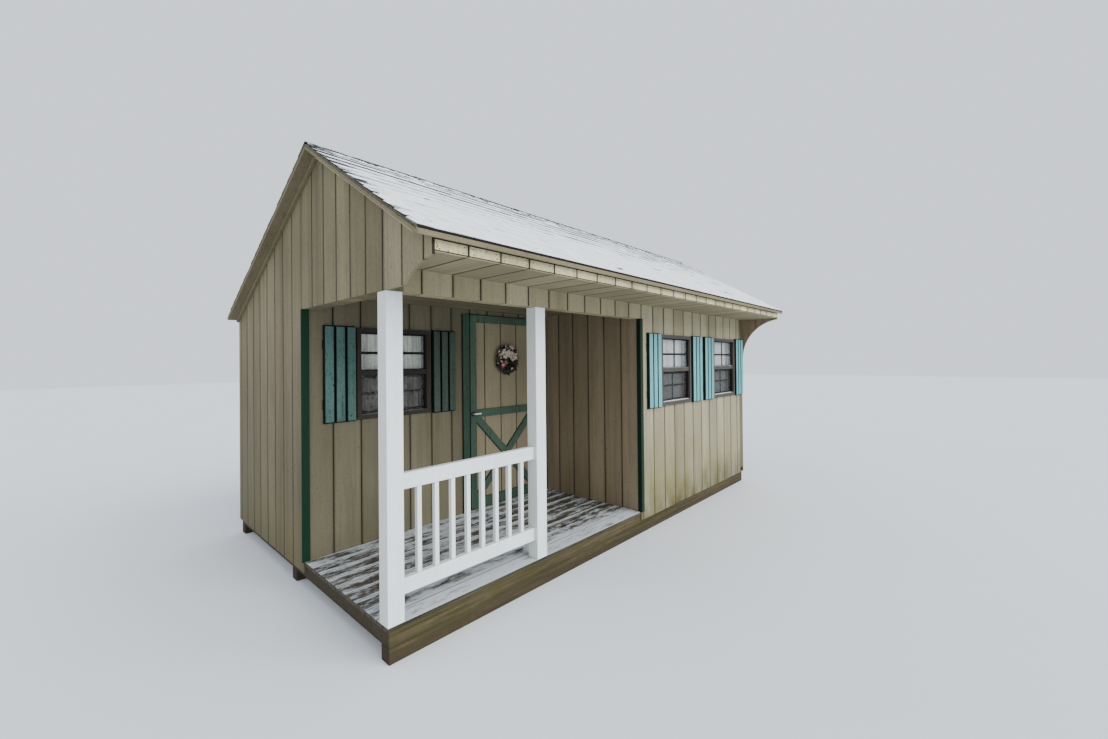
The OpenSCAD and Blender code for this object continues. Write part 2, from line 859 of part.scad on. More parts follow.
module jamb_hinge_leaf(z) {
    z0 = z - hinge_h / 2;
    union() {
        for (k = [0, 2])
            translate([pin_x, pin_y, z0 + k * knuckle_h])
                cylinder(h = knuckle_h, r = knuckle_r, $fn = round_fn);
        translate([pin_x, pin_y, z0]) cylinder(h = hinge_h, r = pin_r, $fn = round_fn);
        for (k = [0, 2])
            block(pin_x, pin_x + hinge_leaf_w, casing_y - hinge_leaf_t, casing_y,
                  z0 + k * knuckle_h, z0 + (k + 1) * knuckle_h);
        block(pin_x + knuckle_r + knuckle_gap, pin_x + hinge_leaf_w, casing_y - hinge_leaf_t, casing_y,
              z0, z0 + hinge_h);
    }
}

module door_hinge_leaf(z) {
    z0 = z - hinge_h / 2;
    m0 = z0 + knuckle_h + knuckle_play;
    m1 = z0 + 2 * knuckle_h - knuckle_play;
    difference() {
        union() {
            translate([pin_x, pin_y, m0]) cylinder(h = m1 - m0, r = knuckle_r, $fn = round_fn);
            block(pin_x - hinge_leaf_w, pin_x, leaf_y - hinge_leaf_t, leaf_y, m0, m1);
            block(pin_x - hinge_leaf_w, pin_x - knuckle_r - knuckle_gap, leaf_y - hinge_leaf_t, leaf_y,
                  z0, z0 + hinge_h);
        }
        translate([pin_x, pin_y, m0 - 1])
            cylinder(h = m1 - m0 + 2, r = pin_r + pin_clearance, $fn = round_fn);
    }
}

module jamb_hinge_leaves() {
    color([0.25, 0.25, 0.26]) for (z = hinge_z) jamb_hinge_leaf(z);
}

module door_hinge_leaves() {
    color([0.25, 0.25, 0.26]) for (z = hinge_z) door_hinge_leaf(z);
}

module door_wreath() {
    color([0.45, 0.32, 0.34])
    translate([(leaf_x0 + leaf_x1) / 2, y_porch - wreath_tube_r - wreath_gap, z_deck + wreath_z])
        rotate([90, 0, 0])
            rotate_extrude($fn = round_fn)
                translate([wreath_ring_r, 0]) circle(r = wreath_tube_r, $fn = 32);
}

skids();
rim_joists();
floor_joists();
floor_sheets();
porch_boards();
left_wall();
left_porch_gable();
right_wall();
gable_brackets();
back_wall();
front_wall();
porch_header();
porch_side_wall();
porch_back_wall();
wall_beside_door();
wall_over_door();
porch_ceiling();
front_soffit();
front_fascia();
rafters();
roof_decking();
front_shingles();
back_shingles();
ridge_cap();
rake_boards();
eave_trims();
gable_friezes();
corner_post();
middle_post();
porch_rails();
balusters();
corner_trims();
door_casing();
porch_window();
front_windows();
window_panes();
porch_shutters();
front_shutters();
jamb_hinge_leaves();
door_hinge_leaves();
door_planks();
door_frame();
door_lever();
door_wreath();
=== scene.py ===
"""A wooden garden cabin with a corner porch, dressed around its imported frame."""
import logging
import math
import random
from dataclasses import dataclass
from enum import Enum
from typing import Callable, Iterable, Sequence

import bpy
from mathutils import Matrix, Vector


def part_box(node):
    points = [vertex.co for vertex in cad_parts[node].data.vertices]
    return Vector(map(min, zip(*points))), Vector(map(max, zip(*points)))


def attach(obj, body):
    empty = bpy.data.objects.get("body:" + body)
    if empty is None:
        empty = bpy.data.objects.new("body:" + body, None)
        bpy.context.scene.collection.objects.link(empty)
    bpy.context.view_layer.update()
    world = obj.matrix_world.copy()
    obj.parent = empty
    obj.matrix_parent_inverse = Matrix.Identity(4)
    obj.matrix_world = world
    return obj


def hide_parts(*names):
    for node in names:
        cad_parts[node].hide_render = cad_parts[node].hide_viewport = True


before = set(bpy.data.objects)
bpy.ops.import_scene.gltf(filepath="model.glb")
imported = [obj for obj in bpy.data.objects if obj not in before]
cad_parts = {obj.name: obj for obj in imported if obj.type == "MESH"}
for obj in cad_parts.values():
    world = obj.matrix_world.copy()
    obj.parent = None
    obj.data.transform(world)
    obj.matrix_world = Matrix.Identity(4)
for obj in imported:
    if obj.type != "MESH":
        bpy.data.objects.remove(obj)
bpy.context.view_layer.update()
LOG = logging.getLogger("porch_cabin")
INCH = 0.0254
QUARTER = math.pi / 2
SMOOTH = math.radians(35)

Piece = bpy.types.Object
Material = bpy.types.Material
Pair = tuple[float, float]
Colour = Place = tuple[float, float, float]
Tool = Callable[..., object]
Test = Callable[[Vector, Vector], bool]
Parts = tuple[tuple[Test, str], ...]


def rgb(*steps: int) -> Colour:
    """Linear colour of a screen colour given in steps of 255."""
    return tuple(((v / 255 + 0.055) / 1.055) ** 2.4 if v > 10 else v / 255 / 12.92 for v in steps)


def dim(tint: Colour, share: float) -> Colour:
    """A colour times a share."""
    return tuple(c * share for c in tint)


def anywhere(at: Vector, out: Vector) -> bool:
    """A test that picks every part of a piece."""
    return True


# Lines of the building


class Axis(Enum):
    """The three directions of the building."""

    X = 0
    Y = 1
    Z = 2

    def vector(self, here: float, others: float = 1.0) -> list[float]:
        """Three numbers: one for this axis, and one for both others."""
        return [here if axis is self else others for axis in Axis]


@dataclass(frozen=True)
class CabinLines:
    """The building's main lines, in metres."""

    left: float = -2.4385
    right: float = 2.4385
    side: float = -0.0125
    front: float = -1.473
    back: float = 1.473
    porch: float = -0.241
    soffit: float = 2.115
    fascia: float = -1.928
    roof_end: float = 2.5245
    ridge_y: float = -0.569
    ridge_z: float = 3.0045
    front_pitch: float = 0.592
    rear_pitch: float = 0.47
    groove: float = 8 * INCH


LINES = CabinLines()
GABLE_GROOVES = (Axis.Y, LINES.front - 15.07 * INCH)
WALL_GROOVES = (Axis.X, LINES.left + 0.39 * INCH)
EDGE_GROOVES = (Axis.X, LINES.left)
SIDE_GROOVES = (Axis.Y, LINES.front + 8.5 * INCH)
DOOR_GROOVES = tuple(LINES.left + inches * INCH for inches in (62.7, 70.5, 78.5))


# Shader sums


class Mask:
    """A socket of a paint's nodes that can be used in sums."""

    def __init__(self, pot: "PaintPot", socket: bpy.types.NodeSocket) -> None:
        """Keep the socket and the pot it belongs to."""
        self.pot, self.socket = pot, socket

    def _sum(self, operation: str, first: "Amount", second: "Amount" = 0.0) -> "Mask":
        """Add one Math node on two amounts."""
        return self.pot.add("ShaderNodeMath", {"operation": operation}, {0: first, 1: second})

    def __add__(self, other: "Amount") -> "Mask":
        """Sum of two amounts."""
        return self._sum("ADD", self, other)

    def __sub__(self, other: "Amount") -> "Mask":
        """This amount less another."""
        return self._sum("SUBTRACT", self, other)

    def __rsub__(self, other: "Amount") -> "Mask":
        """Another amount less this one."""
        return self._sum("SUBTRACT", other, self)

    def __mul__(self, other: "Amount") -> "Mask":
        """Product of two amounts."""
        return self._sum("MULTIPLY", self, other)

    __radd__ = __add__
    __rmul__ = __mul__

    def near(self, step: float) -> "Mask":
        """Distance from this length to the nearest whole number of steps."""
        return self._sum("PINGPONG", self, step / 2)

    def whole(self) -> "Mask":
        """The whole number at or under this one."""
        return self._sum("FLOOR", self)

    def band(self, low: float, high: float) -> "Mask":
        """0 at low and 1 at high, held between them."""
        return self.pot.add("ShaderNodeMapRange", {"clamp": True},
                            {"Value": self, "From Min": low, "From Max": high})


Amount = Mask | float | Sequence[float]
Tint = Mask | Colour


class PaintPot:
    """The nodes of one material."""

    def __init__(self, name: str) -> None:
        """Open a material with its main shader and the piece's own coordinates.

        Args:
            name: The material's name.
        """
        self.material = bpy.data.materials.new(name)
        self.material.use_nodes = True
        self.tree = self.material.node_tree
        self.shader = self.tree.nodes["Principled BSDF"]
        self.place = self.add("ShaderNodeTexCoord", out="Object")

    def add(self, kind: str, settings: dict | None = None, values: dict | None = None,
            out: int | str = 0) -> Mask:
        """Add a node.

        Args:
            kind: The node's type.
            settings: Its settings, which are set first.
            values: Numbers or masks for its sockets, by name or place.
            out: The output that is wanted.

        Returns:
            The wanted output.
        """
        node = self.tree.nodes.new(kind)
        for key, value in (settings or {}).items():
            setattr(node, key, value)
        for key, value in (values or {}).items():
            self.feed(node, key, value)
        return Mask(self, node.outputs[out])

    def feed(self, node: bpy.types.Node, key: int | str, value: Amount) -> None:
        """Set or link one input of a node.

        Args:
            node: The node.
            key: The input's name or place.
            value: What it gets.
        """
        if isinstance(value, Mask):
            self.tree.links.new(value.socket, node.inputs[key])
        else:
            node.inputs[key].default_value = value

    def part(self, axis: Axis) -> Mask:
        """One coordinate of the place on the piece, in metres."""
        return self.add("ShaderNodeSeparateXYZ", None, {0: self.place}, out=axis.value)

    def facing(self, axis: Axis) -> Mask:
        """How far the surface faces along an axis, from -1 to 1."""
        normal = self.add("ShaderNodeNewGeometry", out="Normal")
        return self.add("ShaderNodeSeparateXYZ", None, {0: normal}, out=axis.value)

    def speckle(self, scale: float, stretch: Sequence[float] = (1, 1, 1), detail: float = 4,
                rough: float = 0.55, shift: float = 0.0) -> Mask:
        """Cloudy noise on the piece's own coordinates.

        Args:
            scale: Clouds per metre.
            stretch: Share of the scale along each axis; a small share gives long streaks.
            detail: Layers of finer noise.
            rough: Strength of the finer layers.
            shift: Moves the pattern, so that two of them differ.

        Returns:
            The noise, about 0.5 in the middle.
        """
        spot = self.add("ShaderNodeMapping", None,
                        {"Vector": self.place, "Location": (shift, shift * 1.7, shift * 0.6),
                         "Scale": tuple(stretch)})
        return self.add("ShaderNodeTexNoise", None,
                        {"Vector": spot, "Scale": scale, "Detail": detail, "Roughness": rough})

    def mix(self, under: Tint, *layers: tuple[Amount, Tint]) -> Mask:
        """Lay colours over a first one.

        Args:
            under: The first colour.
            layers: For each colour over it, its share and the colour.

        Returns:
            The mixed colour.
        """
        for share, over in layers:
            tints = [c if isinstance(c, Mask) else (*c, 1.0) for c in (under, over)]
            under = self.add("ShaderNodeMix", {"data_type": "RGBA"},
                             {0: share, 6: tints[0], 7: tints[1]}, out=2)
        return under

    def relief(self, height: Mask, depth: float) -> Mask:
        """Fine relief of a real depth, in metres."""
        return self.add("ShaderNodeBump", None, {"Strength": 1.0, "Distance": depth, "Height": height})

    def settle(self, **values: Amount) -> Material:
        """Feed the main shader.

        Args:
            values: Its inputs; underscores stand for spaces.

        Returns:
            The material.
        """
        for key, value in values.items():
            if key == "Base_Color" and not isinstance(value, Mask):
                value = (*value, 1.0)
            self.feed(self.shader, key.replace("_", " "), value)
        return self.material


# Finishes


@dataclass(frozen=True)
class PaintedWood:
    """Flat paint over sawn wood, with weather streaks, specks and snow on what faces up."""

    name: str
    coat: Colour
    shade: Colour
    run: Axis = Axis.Z
    streak: float = 0.45
    speck: float = 0.6
    grain: float = 0.0006
    rough: float = 0.78
    sheen: float = 0.2
    snow: float = 0.0
    moss: float = 0.0
    # foot: painted shade, how much the coat darkens toward the bottom of the piece
    foot: float = 0.0
    worn: float = 0.0
    boards: tuple[Axis, float] | None = None
    # edge: painted shade for faces that do not face the front, the sides and undersides of boards
    edge: Colour | None = None

    def foot_shade_and_moss(self, pot: PaintPot, colour: Mask) -> Mask:
        """Darken the coat toward the foot as painted shade, and lay damp and moss over it by height.

        Args:
            pot: The paint's nodes.
            colour: The coat so far.

        Returns:
            The weathered coat.
        """
        height = pot.part(Axis.Z)
        # Painted shade: the coat darkens toward the foot.
        if self.foot:
            colour = pot.mix(colour, (height.band(1.9, 0.15) * self.foot, dim(self.shade, 0.55)))
        if self.moss:
            patches = pot.speckle(5, (1, 1, 0.5), 5, 0.65, 6.0)
            left = pot.part(Axis.X).band(1.7, 0.0) * 0.16
            damp = height.band(0.80, 0.30) * (patches + left).band(0.45, 0.70)
            low = height.band(0.46, 0.16) * patches.band(0.25, 0.65)
            colour = pot.mix(colour, (damp * self.moss * 0.8, rgb(128, 120, 62)),
                             (low * self.moss * 0.8, rgb(62, 52, 32)))
        return colour

    def material(self) -> Material:
        """Mix the paint's nodes.

        Returns:
            The paint's material.
        """
        pot = PaintPot(self.name)
        along = self.run.vector(0.05)
        cloud = pot.speckle(1.6, (1, 1, 0.6), 3, 0.5, 3.1)
        lines = pot.speckle(34, along, 3, 0.6, 1.3)
        fine = pot.speckle(210, along, 3, 0.65, 5.2)
        spots = pot.speckle(46, (1, 1, 0.7), 2, 0.5, 8.8).band(0.70, 0.76)
        colour = pot.mix(self.coat, (cloud.band(0.36, 0.68) * 0.55, self.shade),
                         (lines.band(0.50, 0.72) * self.streak, self.shade),
                         (fine.band(0.42, 0.72) * 0.22, dim(self.coat, 1.35)))
        if self.boards:
            place = pot.part(self.boards[0]) - self.boards[1]
            tone = pot.add("ShaderNodeTexWhiteNoise", {"noise_dimensions": "1D"},
                           {"W": (place * (1 / LINES.groove)).whole()})
            wide = pot.speckle(8, along, 4, 0.6, 9.4)
            # Darker toward each groove: grime and painted shade beside the recess.
            rim = place.near(LINES.groove).band(0.020, 0.004)
            colour = pot.mix(colour, (tone * 0.5, self.shade),
                             (wide.band(0.5, 0.75) * self.streak, dim(self.shade, 0.7)),
                             (rim * (lines * 0.5 + 0.15), rgb(44, 36, 24)))
        colour = pot.mix(colour, (spots * self.speck, dim(self.shade, 0.35)))
        if self.worn:
            grime = pot.speckle(85, (1, 1, 0.6), 5, 0.7, 11.0).band(0.52, 0.66)
            colour = pot.mix(colour, (grime * self.worn, dim(self.shade, 0.5)))
        colour = self.foot_shade_and_moss(pot, colour)
        if self.snow:
            drift = pot.facing(Axis.Z).band(0.6, 0.9) * pot.speckle(22, along, 4, 0.6, 2.4).band(0.34, 0.5)
            colour = pot.mix(colour, (drift * self.snow, rgb(226, 230, 232)))
        # Painted shade: faces turned away from the front take the darker edge colour.
        if self.edge:
            colour = pot.mix(self.edge, ((pot.facing(Axis.Y) * -1).band(0.78, 0.95), colour))
        return pot.settle(Base_Color=colour, Roughness=fine * 0.25 + (self.rough - 0.12),
                          Normal=pot.relief(lines * 0.7 + fine, self.grain),
                          Specular_IOR_Level=self.sheen)


@dataclass(frozen=True)
class BareWood:
    """Unpainted timber with long grain, knots, moss and thin snow."""

    name: str
    early: Colour
    late: Colour
    run: Axis = Axis.X
    snow: float = 0.0
    moss: float = 0.0
    joints: Pair = (0.0, 1.0)

    def material(self) -> Material:
        """Mix the timber's nodes.

        Returns:
            The timber's material.
        """
        pot = PaintPot(self.name)
        along = self.run.vector(0.035)
        x, y, height = (pot.part(axis) for axis in Axis)
        rings = pot.speckle(48, along, 5, 0.62, 2.2)
        fibre = pot.speckle(230, along, 3, 0.6, 4.1)
        knots = pot.speckle(4.5, detail=2, rough=0.4, shift=7.4).band(0.70, 0.78)
        colour = pot.mix(self.early, (rings.band(0.35, 0.68), self.late),
                         (fibre.band(0.45, 0.75) * 0.4, dim(self.late, 0.6)),
                         (knots * 0.6, dim(self.late, 0.4)))
        if self.moss:
            green = pot.speckle(14, (1, 1, 1), 5, 0.7, 9.0).band(0.42, 0.62)
            rim = height.band(0.150, 0.176) * pot.speckle(9, (0.6, 1, 1), 5, 0.7, 4.4).band(0.4, 0.55)
            # Painted shade on faces turned to the left, and darker toward the ground.
            left_shade_and_foot = (pot.facing(Axis.X) * -1).band(0.6, 0.9) * 0.75 + height.band(0.13, 0.04) * 0.5
            colour = pot.mix(colour, (green * self.moss, rgb(62, 64, 22)),
                             (rim * self.moss, rgb(84, 84, 34)), (left_shade_and_foot.band(0.0, 1.0), rgb(46, 37, 24)))
        if self.snow:
            drift = pot.speckle(15, self.run.vector(0.34), 9, 0.78, 1.0)
            seam = (y - self.joints[0]).near(self.joints[1]).band(0.026, 0.003) * 0.16
            bare = (x + 2.15).near(4.0).band(0.6, 0.0) * 0.05 + x.band(-1.5, -0.6) * 0.06
            ends = y.band(-1.20, -1.34) * 0.16 + y.band(-0.50, -0.33) * 0.05
            lies = pot.facing(Axis.Z).band(0.6, 0.9) * (drift + seam + ends - bare).band(0.44, 0.60)
            colour = pot.mix(colour, (lies * self.snow, rgb(214, 220, 224)))
        return pot.settle(Base_Color=colour, Roughness=rings * 0.15 + 0.72,
                          Normal=pot.relief(rings + fibre * 0.6, 0.0009), Specular_IOR_Level=0.25)


@dataclass(frozen=True)
class SnowedShingle:
    """Dark mineral shingles under thin snow, bare in dashes by the ridge and the left rake."""

    name: str
    patchy: float = 0.0
    courses: Pair | None = None

    def material(self) -> Material:
        """Mix the roof's nodes.

        Returns:
            The roof's material.
        """
        pot = PaintPot(self.name)
        across, depth, height = (pot.part(axis) for axis in Axis)
        grit = pot.speckle(900, detail=2, rough=0.7)
        tone = pot.speckle(7, (0.6, 1, 1), 3, 0.5, 4.0)
        stone = pot.mix(rgb(24, 24, 24), (grit.band(0.35, 0.7), rgb(66, 67, 68)),
                        (tone.band(0.4, 0.65) * 0.5, rgb(40, 42, 46)))
        up = pot.facing(Axis.Z).band(0.35, 0.75)
        dashes = pot.speckle(9, (0.35, 1.6, 1.6), 5, 0.7, 2.0)
        high = height.band(2.50, 2.98)
        rake = across.band(-2.28, -2.50)
        ends = height.band(2.222, 2.206) + across.band(-2.512, -2.520)
        edge = (1 - up) * (high * dashes.band(0.40, 0.48) + 0.1 + ends)
        bare = edge + (dashes + high * 0.05 + rake * 0.10).band(0.635, 0.67)
        # Bare dashes just under each course's butt: snow-free where sheltered, and partly the butt's
        # painted shadow.
        if self.courses:
            under = (depth - self.courses[0]).near(self.courses[1])
            long = pot.speckle(5, (0.3, 3, 3), 4, 0.65, 7.0)
            bare = bare + under.band(0.011, 0.005) * (long + high * 0.20).band(0.60, 0.68)
        if self.patchy:
            crest = (depth - LINES.ridge_y).near(4.0).band(0.080, 0.035) * 0.19
            tuft = pot.speckle(26, (0.8, 1, 1), 4, 0.7, 6.5) + crest - across.band(-1.7, -2.5) * 0.05
            bare = bare + tuft.band(0.60 - self.patchy, 0.64 - self.patchy)
        bare = bare.band(0.0, 1.0)
        drifts = pot.speckle(5, (1, 1, 1), 4, 0.6).band(0.4, 0.7)
        colour = pot.mix(rgb(246, 249, 250), (drifts, rgb(230, 237, 242)), (bare, stone))
        return pot.settle(Base_Color=colour, Roughness=bare * 0.3 + 0.6,
                          Normal=pot.relief(grit * bare + pot.speckle(60, detail=3) * 0.6, 0.0012),
                          Specular_IOR_Level=0.12)


@dataclass(frozen=True)
class Metal:
    """Brushed or blackened metal with dull spots."""

    name: str
    tint: Colour
    metallic: float = 1.0
    rough: float = 0.35

    def material(self) -> Material:
        """Mix the metal's nodes.

        Returns:
            The metal's material.
        """
        pot = PaintPot(self.name)
        dull = pot.speckle(70).band(0.45, 0.7)
        colour = pot.mix(self.tint, (dull * 0.4, dim(self.tint, 0.6)))
        return pot.settle(Base_Color=colour, Metallic=self.metallic, Roughness=dull * 0.2 + self.rough,
                          Normal=pot.relief(pot.speckle(600, (0.1, 1, 1), 2), 0.0001))


@dataclass(frozen=True)
class ClearGlass:
    """Thin window glass with faint dust."""

    name: str = "window_glass"

    def material(self) -> Material:
        """Mix the glass.

        Returns:
            The glass's material.
        """
        pot = PaintPot(self.name)
        dust = pot.speckle(24, detail=5, rough=0.7).band(0.45, 0.75)
        return pot.settle(Base_Color=rgb(200, 210, 214), Roughness=dust * 0.12 + 0.03,
                          Alpha=dust * 0.08 + 0.12)


@dataclass(frozen=True)
class SheerCloth:
    """Thin white curtain cloth with its weave and painted shadows of its folds."""

    name: str = "sheer_curtain"
    tint: Colour = (0.80, 0.80, 0.79)
    # fold: strength of the painted shadows of the folds
    fold: float = 0.35

    def material(self) -> Material:
        """Mix the cloth's nodes.

        Returns:
            The cloth's material.
        """
        pot = PaintPot(self.name)
        weave = pot.speckle(900, (1, 1, 0.3), 2) + pot.speckle(900, (0.3, 1, 1), 2)
        lace = pot.speckle(70, (1, 1, 1), 3, 0.6).band(0.52, 0.6)
        shadow = pot.speckle(19, (1, 1, 0.10), 4, 0.6, 5.5).band(0.46, 0.62)
        colour = pot.mix(self.tint, (lace * 0.25, dim(self.tint, 0.72)),
                         (shadow * self.fold, dim(self.tint, 0.35)))
        return pot.settle(Base_Color=colour, Roughness=0.9, Alpha=lace * -0.1 + 0.97,
                          Normal=pot.relief(weave, 0.0003))


@dataclass(frozen=True)
class ScreenMesh:
    """Fine dark insect mesh, half open to the light."""

    name: str = "insect_mesh"
    frost: float = 0.2

    def material(self) -> Material:
        """Mix the mesh's nodes.

        Returns:
            The mesh's material.
        """
        pot = PaintPot(self.name)
        wear = pot.speckle(30, detail=3).band(0.4, 0.7)
        frost = pot.speckle(55, (1, 1, 1), 5, 0.7, 3.3).band(0.5, 0.68) * self.frost
        colour = pot.mix(rgb(38, 37, 36), (wear, rgb(60, 58, 56)), (frost, rgb(150, 145, 136)))
        return pot.settle(Base_Color=colour, Roughness=0.8, Alpha=wear * 0.08 + frost * 0.3 + 0.34)


@dataclass(frozen=True)
class Petal:
    """Cloth petals or dry leaves, darker in spots."""

    name: str
    pale: Colour
    deep: Colour

    def material(self) -> Material:
        """Mix the petal's nodes.

        Returns:
            The petal's material.
        """
        pot = PaintPot(self.name)
        colour = pot.mix(self.pale, (pot.speckle(60, detail=3).band(0.4, 0.62), self.deep))
        veins = pot.speckle(320, (0.3, 1, 0.3), 3)
        return pot.settle(Base_Color=colour, Roughness=veins * 0.2 + 0.6,
                          Normal=pot.relief(veins, 0.0004))


# Finishes of this cabin


# Most of these are copies of one taupe siding paint, each lighter or darker for how light falls on its
# surface: painted light on the front wall and header, painted shade on the gable, porch walls, side wall,
# soffit and ceiling. Their foot setting adds painted shade toward the bottom.
SIDINGS = (
    PaintedWood("gable_siding", rgb(129, 121, 94), rgb(90, 82, 61), worn=0.4, moss=0.15, foot=0.45,
                streak=0.65, speck=0.9, boards=GABLE_GROOVES),
    PaintedWood("bracket_siding", rgb(141, 133, 107), rgb(102, 94, 73), worn=0.4, boards=GABLE_GROOVES),
    PaintedWood("back_siding", rgb(124, 114, 85), rgb(92, 84, 60), moss=0.3, boards=WALL_GROOVES),
    PaintedWood("front_siding", rgb(178, 172, 142), rgb(124, 116, 92), worn=0.3, moss=0.9, foot=0.3,
                streak=0.6, boards=WALL_GROOVES),
    PaintedWood("header_siding", rgb(172, 163, 132), rgb(130, 121, 92), worn=0.3, boards=WALL_GROOVES),
    PaintedWood("porch_siding", rgb(122, 116, 94), rgb(88, 82, 64), worn=0.3, boards=EDGE_GROOVES),
    PaintedWood("side_siding", rgb(138, 124, 100), rgb(101, 88, 68), worn=0.3, boards=SIDE_GROOVES),
    PaintedWood("fascia_siding", rgb(222, 212, 172), rgb(160, 150, 114), worn=0.4, speck=0.9,
                boards=EDGE_GROOVES),
    PaintedWood("soffit_siding", rgb(152, 143, 114), rgb(114, 106, 81), Axis.Y, worn=0.3,
                boards=EDGE_GROOVES),
    PaintedWood("rake_siding", rgb(118, 110, 86), rgb(84, 77, 59), Axis.Y, worn=0.4),
    PaintedWood("eave_siding", rgb(126, 116, 92), rgb(86, 77, 59), Axis.X, worn=0.4),
    PaintedWood("ceiling_siding", rgb(128, 120, 96), rgb(94, 87, 67), Axis.X, boards=SIDE_GROOVES),
    # Dark brown for grime together with the painted shade in grooves, gaps and under trims.
    PaintedWood("groove_grime", rgb(46, 39, 27), rgb(28, 24, 17), streak=0.3, speck=0.2),
    PaintedWood("door_siding", rgb(152, 142, 114), rgb(113, 104, 82), worn=0.35, foot=0.4),
)
# In these trims the edge colours are painted shade on the sides and undersides of posts, trims, door boards
# and shutters.
TRIMS = (
    PaintedWood("white_paint", rgb(239, 248, 249), rgb(212, 219, 218), streak=0.2, speck=0.15,
                grain=0.0003, rough=0.55, sheen=0.4, edge=rgb(204, 209, 202)),
    PaintedWood("trim_green", rgb(10, 48, 28), rgb(5, 30, 16), streak=0.3, rough=0.6,
                edge=rgb(3, 24, 12)),
    PaintedWood("casing_green", rgb(64, 90, 71), rgb(24, 45, 36), worn=0.4, streak=0.6, rough=0.6,
                foot=0.5, edge=rgb(16, 28, 22)),
    PaintedWood("door_green", rgb(83, 105, 87), rgb(30, 48, 40), worn=0.4, streak=0.6, rough=0.6,
                foot=0.5, snow=0.5, edge=rgb(16, 24, 19)),
    # The porch and front shutters share one teal paint: the porch copy is painted as in shade and the front
    # copy is painted lighter as in sunlight. dark_teal paints the right porch shutter darker than the left.
    PaintedWood("porch_teal", rgb(87, 118, 111), rgb(42, 66, 62), worn=0.6, streak=0.7, speck=0.9,
                edge=rgb(12, 22, 18)),
    PaintedWood("dark_teal", rgb(76, 88, 78), rgb(42, 52, 45), worn=0.6, streak=0.6, speck=0.9,
                edge=rgb(10, 18, 14)),
    PaintedWood("front_teal", rgb(112, 172, 173), rgb(72, 124, 124), worn=0.3, edge=rgb(14, 30, 25)),
    # Near-black paint standing for the shade behind and between shutter boards.
    PaintedWood("shutter_dark", rgb(10, 18, 15), rgb(6, 11, 9), streak=0.3),
    # Near-black for the shingles' front edge at the eave, darkened with painted shade.
    PaintedWood("shingle_edge", rgb(20, 17, 14), rgb(9, 8, 6), Axis.X, grain=0.002),
    PaintedWood("frame_brown", rgb(54, 48, 42), rgb(32, 28, 24), streak=0.3, rough=0.6, snow=0.5),
    PaintedWood("frame_grey", rgb(74, 70, 64), rgb(46, 42, 38), streak=0.4, rough=0.6, snow=0.9),
    PaintedWood("bar_dark", rgb(28, 25, 22), rgb(18, 16, 14), streak=0.2, rough=0.6),
    PaintedWood("thin_snow", rgb(232, 236, 238), rgb(206, 212, 216), grain=0.002, speck=0.0),
)
TIMBERS = (
    BareWood("porch_timber", rgb(86, 80, 68), rgb(32, 27, 20), snow=0.75, joints=(-1.4695, 0.13656)),
    BareWood("base_timber", rgb(94, 82, 58), rgb(48, 40, 27), moss=0.6),
    BareWood("bare_lumber", rgb(196, 170, 128), rgb(160, 130, 90), Axis.Y),
    BareWood("wall_lumber", rgb(190, 164, 124), rgb(156, 128, 90), Axis.Z),
    BareWood("bare_plywood", rgb(186, 158, 116), rgb(160, 130, 90)),
    BareWood("roof_plywood", rgb(92, 84, 66), rgb(62, 56, 42)),
)
OTHERS = (
    SnowedShingle("front_roof", courses=(-1.9499, 0.10929)),
    SnowedShingle("back_roof", courses=(1.4929, 0.11493)),
    SnowedShingle("ridge_shingle", patchy=0.07),
    Metal("dark_hinge", rgb(36, 35, 34), 0.6, 0.5),
    Metal("satin_metal", rgb(226, 228, 224), 0.5, 0.4),
    Metal("nail_rust", rgb(70, 56, 46), 0.4, 0.7),
    Metal("rod_metal", rgb(150, 146, 140)),
    ClearGlass(),
    ScreenMesh(),
    ScreenMesh("frosted_mesh", 0.9),
    SheerCloth(),
    SheerCloth("aged_curtain", (0.88, 0.86, 0.70), 0.7),
    Petal("petal_white", rgb(240, 230, 214), rgb(186, 168, 150)),
    Petal("petal_pink", rgb(206, 138, 140), rgb(156, 92, 100)),
    Petal("leaf_dark", rgb(44, 46, 30), rgb(22, 24, 17)),
    Petal("twig_bark", rgb(66, 52, 40), rgb(34, 27, 21)),
)


# Studio


